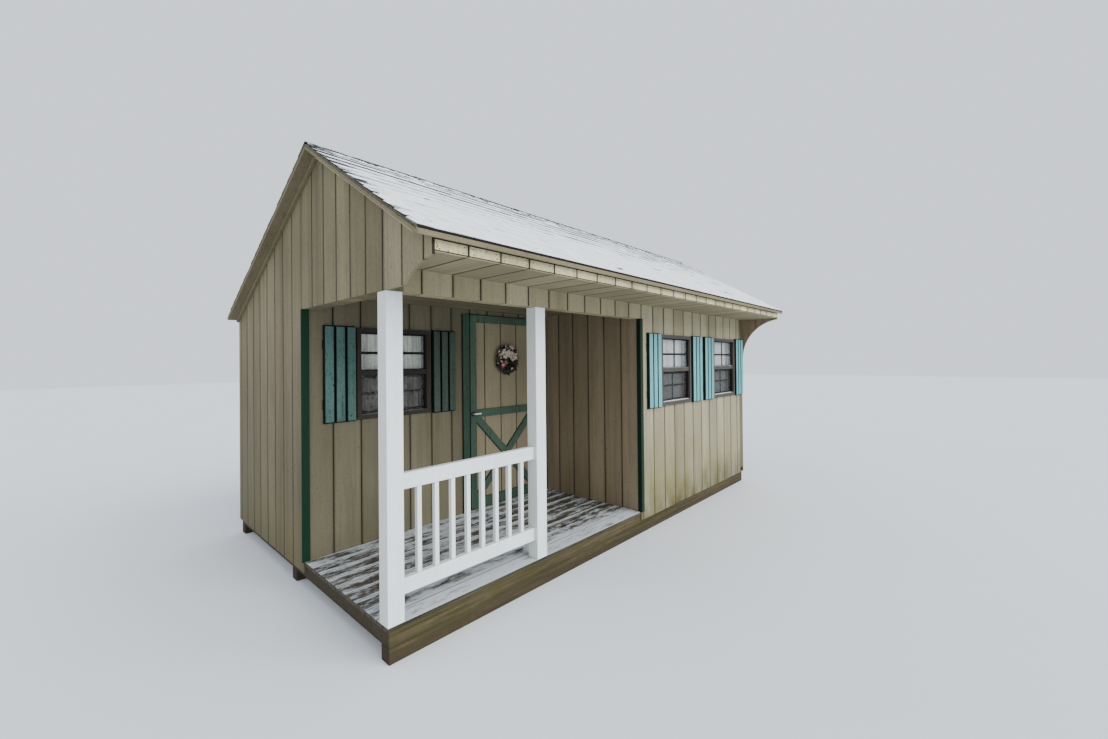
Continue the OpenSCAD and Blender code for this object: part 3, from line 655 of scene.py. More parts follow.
@dataclass(frozen=True)
class Studio:
    """A pale floor, soft light and the camera at the picture's viewing angle."""

    yaw: float = math.radians(41.827)
    pitch: float = math.radians(0.389)
    roll: float = math.radians(-0.563)
    eye: Place = (-3.5663, -3.7753, 1.6012)
    focal: float = 453.355
    middle: Pair = (569.278, 357.701)
    size: tuple[int, int] = (1108, 739)
    air: tuple[float, ...] = (0.86, 0.92, 1.0, 1)
    air_strength: float = 1.25
    suns: tuple[tuple[str, float, float, Place], ...] = (
        ("front_light", 2.9, 45, (-0.25, 0.85, -0.62)), ("left_light", 0.5, 60, (0.9, 0.25, -0.4)))

    def camera(self) -> None:
        """Stand the camera where the picture was taken from."""
        ahead = Vector((math.cos(self.yaw) * math.cos(self.pitch),
                        math.sin(self.yaw) * math.cos(self.pitch), math.sin(self.pitch)))
        level = Vector((math.sin(self.yaw), -math.cos(self.yaw), 0))
        over = level.cross(ahead)
        right = math.cos(self.roll) * level + math.sin(self.roll) * over
        up = -math.sin(self.roll) * level + math.cos(self.roll) * over
        lens = bpy.data.cameras.new("picture_camera")
        lens.sensor_width = 36
        lens.lens = self.focal * lens.sensor_width / self.size[0]
        lens.shift_x = (self.size[0] / 2 - self.middle[0]) / self.size[0]
        lens.shift_y = (self.middle[1] - self.size[1] / 2) / self.size[0]
        stand = bpy.data.objects.new("picture_camera", lens)
        bpy.context.scene.collection.objects.link(stand)
        stand.matrix_world = turned(right, up, -ahead, Vector(self.eye))
        bpy.context.scene.camera = stand

    def lights(self) -> None:
        """Light the cabin softly, a little more from the front than from the left."""
        world = bpy.data.worlds.new("studio_air")
        world.use_nodes = True
        air = world.node_tree.nodes["Background"]
        air.inputs[0].default_value = self.air
        air.inputs[1].default_value = self.air_strength
        bpy.context.scene.world = world
        for name, energy, spread, aim in self.suns:
            sun = bpy.data.lights.new(name, "SUN")
            sun.energy, sun.angle = energy, math.radians(spread)
            lamp = bpy.data.objects.new(name, sun)
            bpy.context.scene.collection.objects.link(lamp)
            lamp.rotation_euler = Vector(aim).to_track_quat("-Z", "Y").to_euler()

    def floor(self) -> None:
        """Lay the pale studio floor."""
        ground = make("studio_floor", bpy.ops.mesh.primitive_plane_add, size=90)
        pot = PaintPot("studio_floor")
        colour = pot.mix((0.72, 0.75, 0.78), (pot.speckle(0.6, detail=2), (0.76, 0.79, 0.82)))
        ground.data.materials.append(pot.settle(Base_Color=colour, Roughness=0.9))


# Bench work


class Part(Enum):
    """What a tool of the bench picks."""

    FACE = "polygons"
    EDGE = "edges"
    VERT = "vertices"


FINISHES: dict[str, Material] = {}


def turned(x: Vector, y: Vector, z: Vector, origin: Vector) -> Matrix:
    """The matrix with these directions and this origin."""
    return Matrix.Translation(origin) @ Matrix((x, y, z)).transposed().to_4x4()


def hold(*pieces: Piece) -> None:
    """Take pieces in hand alone, with the first of them as the active one.

    Args:
        pieces: The pieces.
    """
    bpy.ops.object.select_all(action="DESELECT")
    for piece in pieces:
        piece.select_set(True)
    bpy.context.view_layer.objects.active = pieces[0]


def make(name: str, tool: Tool, stretch: Sequence[float] = (1, 1, 1), **settings: object) -> Piece:
    """Add a shape with one of the program's tools.

    Args:
        name: The piece's name.
        tool: The tool.
        stretch: The shape's scale along each axis.
        settings: What the tool is told.

    Returns:
        The piece, with its place in its mesh.
    """
    bpy.ops.object.select_all(action="DESELECT")
    tool(**settings)
    piece = bpy.context.active_object
    piece.scale = stretch
    piece.name = piece.data.name = name
    bpy.ops.object.transform_apply(location=True, rotation=True, scale=True)
    return piece


def work(piece: Piece, test: Test, tool: Tool, kind: Part = Part.FACE, **settings: object) -> None:
    """Use one of the program's tools on the parts of a piece that a test picks.

    Args:
        piece: The piece.
        test: Says whether a part at a place, with a normal, is wanted.
        tool: The tool.
        kind: What is picked.
        settings: What the tool is told.
    """
    hold(piece)
    bpy.ops.object.mode_set(mode="EDIT")
    bpy.ops.mesh.select_mode(type=kind.name)
    bpy.ops.mesh.select_all(action="DESELECT")
    bpy.ops.object.mode_set(mode="OBJECT")
    for part in getattr(piece.data, kind.value):
        if kind is Part.EDGE:
            one, two = (piece.data.vertices[i] for i in part.vertices)
            part.select = test((one.co + two.co) / 2, one.normal + two.normal)
        else:
            part.select = test(part.center if kind is Part.FACE else part.co, part.normal)
    bpy.ops.object.mode_set(mode="EDIT")
    tool(**settings)
    bpy.ops.object.mode_set(mode="OBJECT")


def shift(piece: Piece, test: Test, move: Place) -> None:
    """Move the corners that a test picks."""
    work(piece, test, bpy.ops.transform.translate, Part.VERT, value=move)


def apply(piece: Piece, kind: str, **settings: object) -> Piece:
    """Add a modifier, set it and apply it.

    Args:
        piece: The piece.
        kind: The modifier's type.
        settings: Its settings.

    Returns:
        The piece.
    """
    hold(piece)
    tool = piece.modifiers.new(kind.lower(), kind)
    for key, value in settings.items():
        setattr(tool, key, value)
    bpy.ops.object.modifier_apply(modifier=tool.name)
    return piece


def ease(piece: Piece, width: float = 0.002, segments: int = 1) -> Piece:
    """Round the sharp edges of a piece a little and give it back."""
    return apply(piece, "BEVEL", width=width, segments=segments, limit_method="ANGLE",
                 angle_limit=SMOOTH, harden_normals=False)


def block(name: str, low: Sequence[float], high: Sequence[float], eased: float = 0.0015) -> Piece:
    """A board or bar between two corners.

    Args:
        name: The piece's name.
        low: Its lowest corner.
        high: Its highest corner.
        eased: Width of the bevel on its edges.

    Returns:
        The board.
    """
    board = make(name, bpy.ops.mesh.primitive_cube_add, [b - a for a, b in zip(low, high)],
                 size=1, location=[(a + b) / 2 for a, b in zip(low, high)])
    return ease(board, eased) if eased else board


def from_node(node: str, name: str) -> Piece:
    """A copy of a CAD node's mesh, to be shaped further.

    Args:
        node: The CAD node.
        name: The copy's name.

    Returns:
        The copy, with its flat faces whole.
    """
    piece = bpy.data.objects.new(name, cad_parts[node].data.copy())
    bpy.context.scene.collection.objects.link(piece)
    hold(piece)
    if piece.data.has_custom_normals:
        bpy.ops.mesh.customdata_custom_splitnormals_clear()

    def clean() -> None:
        """Merge doubled corners and make flat faces whole."""
        bpy.ops.mesh.remove_doubles(threshold=1e-5)
        bpy.ops.mesh.dissolve_limited(angle_limit=math.radians(0.4))

    work(piece, anywhere, clean)
    bpy.ops.object.shade_flat()
    return piece


def cut(piece: Piece, cutter: Piece) -> Piece:
    """Cut one piece out of another.

    Args:
        piece: What is cut.
        cutter: The piece to cut with; it is used up.

    Returns:
        What is left.
    """
    apply(piece, "BOOLEAN", operation="DIFFERENCE", solver="EXACT", object=cutter)
    bpy.data.objects.remove(cutter)
    return piece


def join(name: str, parts: Sequence[Piece]) -> Piece:
    """Join parts into one piece.

    Args:
        name: The new piece's name.
        parts: The parts.

    Returns:
        The joined piece.
    """
    hold(*parts)
    if len(parts) > 1:
        bpy.ops.object.join()
    parts[0].name = parts[0].data.name = name
    return parts[0]


def copies(name: str, model: Piece, moves: Iterable[Matrix]) -> Piece:
    """One piece made of a model's copies.

    Args:
        name: The new piece's name.
        model: What is copied; it is used up.
        moves: Where each copy goes, as a matrix on the model's mesh.

    Returns:
        The joined copies.
    """
    made = []
    for move in moves:
        twin = bpy.data.objects.new(name, model.data.copy())
        bpy.context.scene.collection.objects.link(twin)
        twin.data.transform(move)
        made.append(twin)
    bpy.data.objects.remove(model)
    return join(name, made)


def hand_over(piece: Piece, finish: str, slot: str, body: str = "hut",
              stands_for: Sequence[str] = (), parts: Parts = ()) -> None:
    """Dress a finished piece and set it on its body.

    Args:
        piece: The piece.
        finish: The name of its finish.
        slot: Not used; the record's material slot it belongs to.
        body: The body it rides on.
        stands_for: The CAD nodes it replaces.
        parts: Tests of faces and other finishes; the first test that holds counts.
    """
    piece.data.materials.clear()
    for name in (finish, *(other for _, other in parts)):
        piece.data.materials.append(FINISHES[name])
    for face in piece.data.polygons:
        holds = (k for k, (test, _) in enumerate(parts, 1) if test(face.center, face.normal))
        face.material_index = next(holds, 0)
    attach(piece, body)
    if stands_for:
        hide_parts(*stands_for)
    LOG.info("piece %s on %s, %d faces", piece.name, body, len(piece.data.polygons))


# Siding


@dataclass(frozen=True)
class GroovedSheet:
    """A siding sheet with grooves cut into one face.

    Grooves repeat along the axis of boards, from its start, run along another and are cut in from the face.
    The tool reaches past the sheet's ends and before its face, and its foot narrows to the taper.
    """

    node: str
    finish: str
    boards: tuple[Axis, float]
    face: float
    side: int
    run: Axis = Axis.Z
    depth: float = 0.006
    width: float = 0.0095
    margin: float = 0.012
    skin: float = 0.0005
    inner: bool = False
    parts: Parts = ()
    past: float = 0.02
    before: float = 0.004
    taper: float = 0.7

    @property
    def inward(self) -> int:
        """The axis across the sheet's thickness."""
        return ({0, 1, 2} - {self.boards[0].value, self.run.value}).pop()

    def cutter(self) -> Piece | None:
        """Make the grooves to cut with.

        Returns:
            The grooves as one solid, or None where none crosses the sheet.
        """
        axis, first = self.boards
        across, run, inward = axis.value, self.run.value, self.inward
        low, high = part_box(self.node)
        start = math.ceil((low[across] + self.margin - first) / LINES.groove)
        end = math.floor((high[across] - self.margin - first) / LINES.groove)
        if end < start:
            return None
        here = first + start * LINES.groove
        corner, other = [0.0] * 3, [0.0] * 3
        corner[across], other[across] = here - self.width / 2, here + self.width / 2
        corner[run], other[run] = low[run] - self.past, high[run] + self.past
        corner[inward], other[inward] = sorted((self.face - self.side * self.depth,
                                                self.face + self.side * self.before))
        tool = block("groove_tool", corner, other, 0)
        work(tool, lambda at, out: out[inward] * self.side < -0.5, bpy.ops.transform.resize,
             value=axis.vector(self.taper))
        moves = [Matrix.Translation(axis.vector(k * LINES.groove, 0.0)) for k in range(end - start + 1)]
        return copies("groove_tool", tool, moves)

    def build(self, piece: Piece | None = None) -> Piece:
        """Cut the grooves.

        Args:
            piece: A copy of the node's mesh that has some grooves already, or None for a new copy.

        Returns:
            The grooved sheet.
        """
        piece = piece or from_node(self.node, self.node + "_boards")
        tool = self.cutter()
        return cut(piece, tool) if tool else piece

    def dress(self, piece: Piece, body: str = "hut") -> None:
        """Paint the sheet, with grime and painted shade in its grooves and bare wood on its inner side.

        Args:
            piece: The cut sheet.
            body: The body it rides on.
        """
        def deep(at: Vector) -> float:
            """How far a place lies behind the sheet's face."""
            return (self.face - at[self.inward]) * self.side

        parts = self.parts
        if self.inner:
            parts = ((lambda at, out: out[self.inward] * self.side < -0.5 and deep(at) > 0.08,
                      "wall_lumber"), *parts)
        hand_over(piece, self.finish, "taupe_siding", body, (self.node,), parts)
        # The faces inside the grooves take the dark paint: grime and painted shade.
        piece.data.materials.append(FINISHES["groove_grime"])
        for face in piece.data.polygons:
            deepest = max(deep(piece.data.vertices[i].co) for i in face.vertices)
            if deep(face.center) > self.skin and deepest < self.depth + self.skin:
                face.material_index = len(piece.data.materials) - 1


BACK_END = (lambda at, out: out.y > 0.95 and at.y > LINES.back - 0.001, "back_siding")
SHEETS = (
    GroovedSheet("left_wall", "gable_siding", GABLE_GROOVES, LINES.left, -1, inner=True,
                 parts=(BACK_END, (lambda at, out: out.y < -0.95, "porch_siding"))),
    GroovedSheet("left_porch_gable", "gable_siding", GABLE_GROOVES, LINES.left, -1),
    GroovedSheet("right_wall", "gable_siding", GABLE_GROOVES, LINES.right, 1, inner=True,
                 parts=(BACK_END,)),
    GroovedSheet("back_wall", "back_siding", WALL_GROOVES, LINES.back, 1, inner=True),
    GroovedSheet("front_wall", "front_siding", WALL_GROOVES, LINES.front, -1, inner=True,
                 # Painted shade: the front wall's end face beside the porch takes the shaded side wall
                 # paint.
                 parts=((lambda at, out: out.x < -0.7 and abs(at.x - LINES.side) < 0.001,
                         "side_siding"),)),
    GroovedSheet("porch_header", "header_siding", WALL_GROOVES, LINES.front, -1),
    GroovedSheet("porch_back_wall", "porch_siding", EDGE_GROOVES, LINES.porch, -1, inner=True),
    GroovedSheet("wall_beside_door", "porch_siding", EDGE_GROOVES, LINES.porch, -1, inner=True),
    GroovedSheet("wall_over_door", "porch_siding", EDGE_GROOVES, LINES.porch, -1, inner=True),
    GroovedSheet("porch_side_wall", "side_siding", SIDE_GROOVES, LINES.side, -1, inner=True),
    GroovedSheet("front_fascia", "fascia_siding", EDGE_GROOVES, LINES.fascia, -1, width=0.011),
    GroovedSheet("front_soffit", "soffit_siding", EDGE_GROOVES, LINES.soffit, -1, Axis.Y, 0.004),
)
BRACKET_PARTS = (
    # Painted shade: the brackets' inner faces take the shaded side wall paint, and the left bracket's front
    # faces take the dark groove paint.
    (lambda at, out: out.x * at.x < -1.5, "side_siding"),
    (lambda at, out: out.y < -0.95 and at.y < -1.92 and at.x < 0, "groove_grime"),
)


@dataclass(frozen=True)
class Siding:
    """The grooved siding of the walls, gables, brackets, fascia, soffit and door."""

    nail_offsets: Pair = (-0.028, 0.030)
    nail_heights: Pair = (2.129, 2.157)
    loose_nails: tuple[Pair, ...] = ((-2.413, 2.150), (-2.412, 2.133), (-2.398, 2.127),
                                     (-2.352, 2.124), (-2.409, 2.141))
    # joints: foot and head of the dark lines on the fascia; the head one is painted shadow under the eave
    # trim
    joints: tuple[Pair, ...] = ((2.1152, 2.1208), (2.1686, 2.2085))
    dark_line_end: float = 2.4224
    door_groove: float = 0.005
    door_span: Pair = (0.19, 2.07)

    def build(self) -> None:
        """Cut and paint every sheet of siding."""
        for sheet in SHEETS:
            sheet.dress(sheet.build())
        left, right = (GroovedSheet("gable_brackets", "bracket_siding", GABLE_GROOVES,
                                    side * LINES.right, side, parts=BRACKET_PARTS) for side in (-1, 1))
        left.dress(left.build(right.build()))
        deep = self.door_groove
        planks = GroovedSheet("door_planks", "door_siding", EDGE_GROOVES, LINES.porch, -1, depth=deep)
        piece = from_node("door_planks", "door_planks_boards")
        for middle in DOOR_GROOVES:
            tool = block("groove_tool", (middle - deep, LINES.porch - planks.before, self.door_span[0]),
                         (middle + deep, LINES.porch + deep, self.door_span[1]), 0)
            piece = cut(piece, tool)
        planks.dress(piece, "door")
        self.nails()

    def nails(self) -> None:
        """Set nail heads beside every groove of the fascia, a painted shadow strip at its top under the
        eave trim, and a dark line at its foot.
        """
        head = make("nail", bpy.ops.mesh.primitive_cylinder_add, vertices=8, radius=0.0036,
                    depth=0.0016, rotation=(QUARTER, 0, 0))
        ease(head, 0.0005)
        draw = random.Random(11)
        spots = [(LINES.left + k * LINES.groove + offset + draw.uniform(-0.006, 0.006),
                  height + draw.uniform(-0.004, 0.004))
                 for k in range(1, 24) for offset in self.nail_offsets for height in self.nail_heights]
        moves = [Matrix.Translation((x, LINES.fascia - 0.0004, height))
                 for x, height in (*spots, *self.loose_nails)]
        hand_over(copies("fascia_nails", head, moves), "nail_rust", "dark_hinge")
        # Painted shadow at the fascia's top under the eave trim, and a dark joint line at its foot.
        joints = [block("joint", (-self.dark_line_end, LINES.fascia - 0.0009, low),
                        (self.dark_line_end, LINES.fascia + 0.0006, high), 0.0003)
                  for low, high in self.joints]
        hand_over(join("fascia_joints", joints), "groove_grime", "taupe_siding")


# Roof


@dataclass(frozen=True)
class ShingleSlope:
    """Tabbed shingles in courses over one slope of the roof."""

    node: str
    finish: str
    side: int
    pitch: float
    length: float
    under: float = 0.0133
    top: float = 0.0228
    exposure: float = 0.127
    lap: float = 0.012
    tab: float = 0.305
    slot: float = 0.008
    slip: float = 0.02
    thinning: float = 0.0066
    worn_edge: float = 0.0022
    narrowest: float = 0.015
    last_foot: float = 0.09

    def lay(self) -> Matrix:
        """Find where the slope lies.

        Returns:
            The matrix from slope measures (x, down the slope, out of it) to the building.
        """
        lean = math.atan(self.pitch)
        down = Vector((0, self.side * math.cos(lean), -math.sin(lean)))
        out = Vector((0, self.side * math.sin(lean), math.cos(lean)))
        ridge = Vector((0, LINES.ridge_y, LINES.ridge_z))
        return turned(Vector((1, 0, 0)), down, out, ridge)

    def build(self) -> None:
        """Model one tab and lay it in staggered courses from the eave to the ridge."""
        end, lay = LINES.roof_end, self.lay()
        tab = block("tab", (0, -self.exposure - self.lap, self.under), (1, 0, self.top), 0)
        shift(tab, lambda at, out: at.y < -0.1 and at.z > self.under + 0.001, (0, 0, -self.thinning))
        work(tab, lambda at, out: at.y > -0.001 and at.z > self.top - 0.001, bpy.ops.mesh.bevel,
             Part.EDGE, offset=self.worn_edge, offset_type="OFFSET", segments=1, affect="EDGES")
        draw, moves = random.Random(5 + self.side), []
        course, foot = 0, self.length
        while foot > self.last_foot:
            left = -end - (course % 2) * self.tab / 2 - (course % 3) * self.slip
            while left < end:
                low = max(left + self.slot / 2, -end)
                high = min(left + self.tab - self.slot / 2, end)
                if high - low > self.narrowest:
                    spot = Matrix.Translation((low, foot - draw.uniform(0, 0.003), 0))
                    moves.append(lay @ spot @ Matrix.Diagonal((high - low, 1, 1, 1)))
                left += self.tab
            foot -= self.exposure
            course += 1
        tabs = copies(self.node + "_tabs", tab, moves)
        felt = block(self.node + "_felt", (-end + 0.002, 0.02, self.under - 0.0001),
                     (end - 0.002, self.length - 0.006, self.under + 0.0022), 0.0006)
        felt.data.transform(lay)
        piece = join(self.node + "_tabs", [tabs, felt])
        if self.side < 0:
            work(piece, anywhere, bpy.ops.mesh.normals_make_consistent, inside=False)
            # The shingles' front edge at the eave as a near-black strip: the real edge, partly painted
            # shade.
            strip = block("eave_strip", (-end + 0.001, -1.9608, 2.1940),
                          (end - 0.001, -1.953, 2.2042), 0.002)
            hand_over(strip, "shingle_edge", "dark_shingles")
        hand_over(piece, self.finish, "dark_shingles", stands_for=(self.node,))


@dataclass(frozen=True)
class RidgeCap:
    """Folded cap shingles that overlap along the ridge."""

    reach: float = 0.13
    step: float = 0.127
    lap: float = 0.03
    low: float = 0.0262
    thick: float = 0.0036
    tuck: float = 0.002
    wander: float = 0.004
    uneven: Pair = (-0.0012, 0.0010)
    askew: float = 1.2
    narrow: float = 0.985

    def build(self) -> None:
        """Fold one cap shingle and lay it along the ridge, each a little askew."""
        cap = block("cap", (0, -self.reach, 0), (self.step + self.lap, self.reach, self.thick), 0)
        work(cap, anywhere, bpy.ops.mesh.bisect, plane_co=(0, 0, 0), plane_no=(0, 1, 0))
        shift(cap, lambda at, out: at.y < -0.01, (0, 0, -LINES.front_pitch * self.reach))
        shift(cap, lambda at, out: at.y > 0.01, (0, 0, -LINES.rear_pitch * self.reach))
        shift(cap, lambda at, out: at.x > self.step, (0, 0, -self.tuck))
        draw, moves = random.Random(21), []
        for k in range(int(2 * LINES.roof_end / self.step)):
            start = -LINES.roof_end + k * self.step
            spot = Matrix.Translation((start, LINES.ridge_y + draw.uniform(-self.wander, self.wander),
                                       LINES.ridge_z + self.low + draw.uniform(*self.uneven)))
            turn = math.radians(draw.uniform(-self.askew, self.askew) if k else 0.0)
            length = min(1.0, (LINES.roof_end - start - self.wander) / (self.step + self.lap))
            shape = Matrix.Diagonal((length, self.narrow, 1, 1))
            moves.append(spot @ Matrix.Rotation(turn, 4, "Z") @ shape)
        hand_over(copies("ridge_cap_tabs", cap, moves), "ridge_shingle", "dark_shingles",
                  stands_for=("ridge_cap",))


SLOPES = (ShingleSlope("front_shingles", "front_roof", -1, LINES.front_pitch, 1.604),
          ShingleSlope("back_shingles", "back_roof", 1, LINES.rear_pitch, 2.2787))


# Boards and trims


@dataclass(frozen=True)
class EasedNode:
    """A CAD node whose edges are eased, as planed and painted boards are."""

    node: str
    finish: str
    slot: str
    width: float = 0.002
    segments: int = 1
    body: str = "hut"
    moves: tuple[tuple[Test, Place], ...] = ()
    parts: Parts = ()

    def build(self) -> None:
        """Copy the node, ease its edges and set it in the node's place."""
        piece = from_node(self.node, self.node + "_eased")
        for test, move in self.moves:
            shift(piece, test, move)
        ease(piece, self.width, self.segments)
        hand_over(piece, self.finish, self.slot, self.body, (self.node,), self.parts)


THICKER = (0, -0.006, 0)
BOARDS = (
    EasedNode("corner_post", "white_paint", "white_paint", 0.003, 2),
    EasedNode("middle_post", "white_paint", "white_paint", 0.003, 2),
    EasedNode("porch_rails", "white_paint", "white_paint", 0.0025, 2),
    EasedNode("balusters", "white_paint", "white_paint", 0.0015),
    EasedNode("corner_trims", "trim_green", "green_paint", 0.0015),
    EasedNode("door_casing", "casing_green", "green_paint", 0.0015),
    EasedNode("door_frame", "door_green", "green_paint", 0.002, 2, "door"),
    EasedNode("porch_shutters", "porch_teal", "teal_paint", 0.0015,
              moves=((lambda at, out: at.y < LINES.porch - 0.02, THICKER),),
              # Painted shade: faces near the wall, the battens and the backs of the boards, take the
              # near-black paint.
              parts=((lambda at, out: at.y > LINES.porch - 0.0136, "shutter_dark"),
                     (lambda at, out: at.x > -1.75, "dark_teal"))),
    EasedNode("front_shutters", "front_teal", "teal_paint", 0.0015,
              moves=((lambda at, out: at.y < LINES.front - 0.02, THICKER),),
              # Painted shade: faces near the wall take the near-black paint.
              parts=((lambda at, out: at.y > LINES.front - 0.0136, "shutter_dark"),)),
    EasedNode("door_lever", "satin_metal", "satin_metal", 0.0006, 1, "door",
              parts=((lambda at, out: abs(at.y - LINES.porch - 0.006) < 0.036
                      and abs(at.x + 0.9995) < 0.04, "dark_hinge"),)),
    EasedNode("porch_boards", "porch_timber", "deck_boards", 0.003, 2),
    EasedNode("rim_joists", "base_timber", "treated_timber", 0.003),
    EasedNode("skids", "base_timber", "treated_timber", 0.005, 2),
    EasedNode("rake_boards", "rake_siding", "taupe_siding"),
    EasedNode("eave_trims", "eave_siding", "taupe_siding",
              moves=((lambda at, out: at.y < -1.9605 and at.z > 2.1, (0, 0, -0.0032)),)),
    EasedNode("gable_friezes", "rake_siding", "taupe_siding",
              moves=((lambda at, out: at.y < LINES.ridge_y - 0.0005
                      and at.z < 2.243 + LINES.front_pitch * (at.y + 1.7963), (0, 0, -0.011)),),
              # Painted highlight: the frieze on the front slope takes the lighter front wall paint and
              # shows as a light line under the rake.
              parts=((lambda at, out: at.y < LINES.ridge_y, "front_siding"),)),
    EasedNode("porch_window", "frame_brown", "brown_frame", 0.001),
    EasedNode("front_windows", "frame_grey", "brown_frame", 0.001),
)

CARRIED = {
    "floor_joists": "base_timber", "floor_sheets": "bare_plywood", "rafters": "bare_lumber",
    "roof_decking": "roof_plywood", "porch_ceiling": "ceiling_siding", "window_panes": "window_glass",
    "jamb_hinge_leaves": "dark_hinge", "door_hinge_leaves": "dark_hinge",
}


# Windows


@dataclass(frozen=True)
class Sash:
    """Width and faces of a sash's ring, and the outer face of the bars that cross its light."""

    wide: float
    faces: Pair
    near: float


UPPER_SASH = Sash(0.012, (0.011, 0.0178), 0.011)
LOWER_SASH = Sash(0.024, (0.030, 0.0408), 0.034)


@dataclass(frozen=True)
class Window:
    """A two-sash window: its bars, lower sash, insect mesh, snow, curtain and rod, and strips of painted
    shade in its reveals.
    """

    name: str
    middle: float
    plane: float
    foot: float = 1.181
    meeting: float = 1.499
    head: float = 1.817
    half: float = 0.279
    bar: float = 0.020
    bar_deep: float = 0.0066
    bar_eased: float = 0.0025
    sunk: float = 0.0005
    tuck: float = 0.001
    gap: float = 0.017
    liner: float = 0.003
    reveal_shade_faces: Pair = (0.0015, 0.0405)
    head_shade_faces: Pair = (0.0015, 0.0175)
    mesh_faces: Pair = (0.0262, 0.0270)
    sill_snow: Pair = (-0.017, 0.028)
    rail_snow: Pair = (-0.0085, 0.010)
    rail_top: float = 0.018
    snow_deep: float = 0.004
    snow_uneven: Pair = (-0.0045, 0.003)
    cloth: str = "sheer_curtain"
    mesh: str = "insect_mesh"
    snowy: bool = True
    rod_half: float = 0.286
    rod_depth: float = 0.076
    rod_thick: float = 0.005
    rod_rise: float = 0.009
    folds: tuple[Pair, ...] = ((13, 0.0085), (21, 0.003))
    rod_clearance: float = 0.0062
    hang: float = 0.010
    heading: float = 0.96
    tunnel: float = 0.9
    calm: Pair = (0.35, 0.45)
    mean_calm: float = 0.72
    samples: int = 400
    cloth_below: float = 0.029
    cloth_above: float = 0.019
    cloth_thick: float = 0.0008

    def block(self, name: str, across: Pair, inward: Pair, height: Pair, eased: float = 0.0015) -> Piece:
        """A bar placed from the window's middle and the siding's face.

        Args:
            name: Its name.
            across: Its ends, from the window's middle.
            inward: Its faces, from the siding's face.
            height: Its foot and head over the ground.
            eased: Width of the bevel on its edges.

        Returns:
            The bar.
        """
        return block(name, (self.middle + across[0], self.plane + inward[0], height[0]),
                     (self.middle + across[1], self.plane + inward[1], height[1]), eased)

    def sash(self, form: Sash, light: Pair, ring: Pair) -> list[Piece]:
        """Four bars round a light, and two that cross over it.

        Args:
            form: The sash's widths and faces.
            light: Foot and head of the crossing bars.
            ring: Foot and head of the ring.

        Returns:
            The bars.
        """
        wide, faces, near = form.wide, form.faces, form.near
        mid, thin, far = (light[0] + light[1]) / 2, self.bar / 2, near + self.bar_deep
        span = (wide - self.half - self.tuck, self.half - wide + self.tuck)
        return [
            self.block("bar", (-thin, thin), (near, far), light, self.bar_eased),
            self.block("bar", (-self.half, self.half), (near + self.sunk, far - self.sunk),
                       (mid - thin, mid + thin), self.bar_eased),
            self.block("stile", (-self.half, wide - self.half), faces, ring),
            self.block("stile", (self.half - wide, self.half), faces, ring),
            self.block("rail", span, faces, (ring[0], ring[0] + wide)),
            self.block("rail", span, faces, (ring[1] - wide, ring[1])),
        ]

    def build(self) -> None:
        """Build the sashes, the mesh and the curtain, and set them in the opening."""
        foot, meeting, head, half = self.foot, self.meeting, self.head, self.half
        parts = self.sash(UPPER_SASH, (meeting, head), (meeting + self.gap, head))
        parts += self.sash(LOWER_SASH, (foot, meeting), (foot, meeting - self.gap))
        # Near-black strips in the reveals at the sides and head of the light: painted shade.
        parts += [self.block("liner", (side - self.liner, side + self.liner), self.reveal_shade_faces,
                             (foot, head), 0.001) for side in (-half, half)]
        parts.append(self.block("liner", (-half, half), self.head_shade_faces,
                                (head - self.liner, head + self.liner), 0.001))
        hand_over(join(self.name + "_sash_bars", parts), "bar_dark", "brown_frame")
        mesh = self.block(self.name + "_mesh", (-half, half), self.mesh_faces,
                          (foot, meeting - self.gap), 0)
        work(mesh, lambda at, out: abs(out.y) > 0.5, bpy.ops.mesh.subdivide, number_cuts=6)
        hand_over(mesh, self.mesh, "brown_frame")
        if self.snowy:
            self.drifts()
        self.curtain()

    def drifts(self) -> None:
        """Lay a thin uneven line of snow on the sill and on the meeting rail."""
        draw, lines, reach = random.Random(int(self.middle * 500)), [], self.half - 0.004
        for base, faces in ((self.foot, self.sill_snow), (self.meeting + self.rail_top, self.rail_snow)):
            strip = self.block("snow", (-reach, reach), faces, (base - self.tuck, base + self.snow_deep), 0)
            work(strip, lambda at, out: abs(out.x) < 0.5, bpy.ops.mesh.subdivide, number_cuts=24)
            for corner in strip.data.vertices:
                if corner.co.z > base:
                    corner.co.z += draw.uniform(*self.snow_uneven)
            lines.append(strip)
        hand_over(join(self.name + "_snow", lines), "thin_snow", "white_paint")

    def curtain(self) -> None:
        """Hang a gathered sheer curtain on a rod inside the opening."""
        depth, wide = self.plane + self.rod_depth, 2 * (self.rod_half - 0.004)
        rod = make(self.name + "_rod", bpy.ops.mesh.primitive_cylinder_add, vertices=12,
                   radius=self.rod_thick, depth=2 * self.rod_half, rotation=(0, QUARTER, 0),
                   location=(self.middle, depth, self.head + self.rod_rise))
        ease(rod, 0.0012)
        bpy.ops.object.shade_smooth_by_angle(angle=SMOOTH)
        hand_over(rod, "rod_metal", "satin_metal")
        cloth = make(self.name + "_curtain", bpy.ops.mesh.primitive_grid_add, x_subdivisions=150,
                     y_subdivisions=14, size=1)
        draw = random.Random(int(self.middle * 1000))
        waves = [(draw.uniform(0.8, 1.2), draw.uniform(0, 6.28)) for _ in self.folds]
        low, high = self.foot - self.cloth_below, self.head + self.cloth_above
        tight, upper = self.calm

        def fold(share: float) -> float:
            """Depth of the folds at a share of the curtain's width."""
            return sum(math.sin(2 * math.pi * share * count * pace + start) * deep
                       for (count, deep), (pace, start) in zip(self.folds, waves))

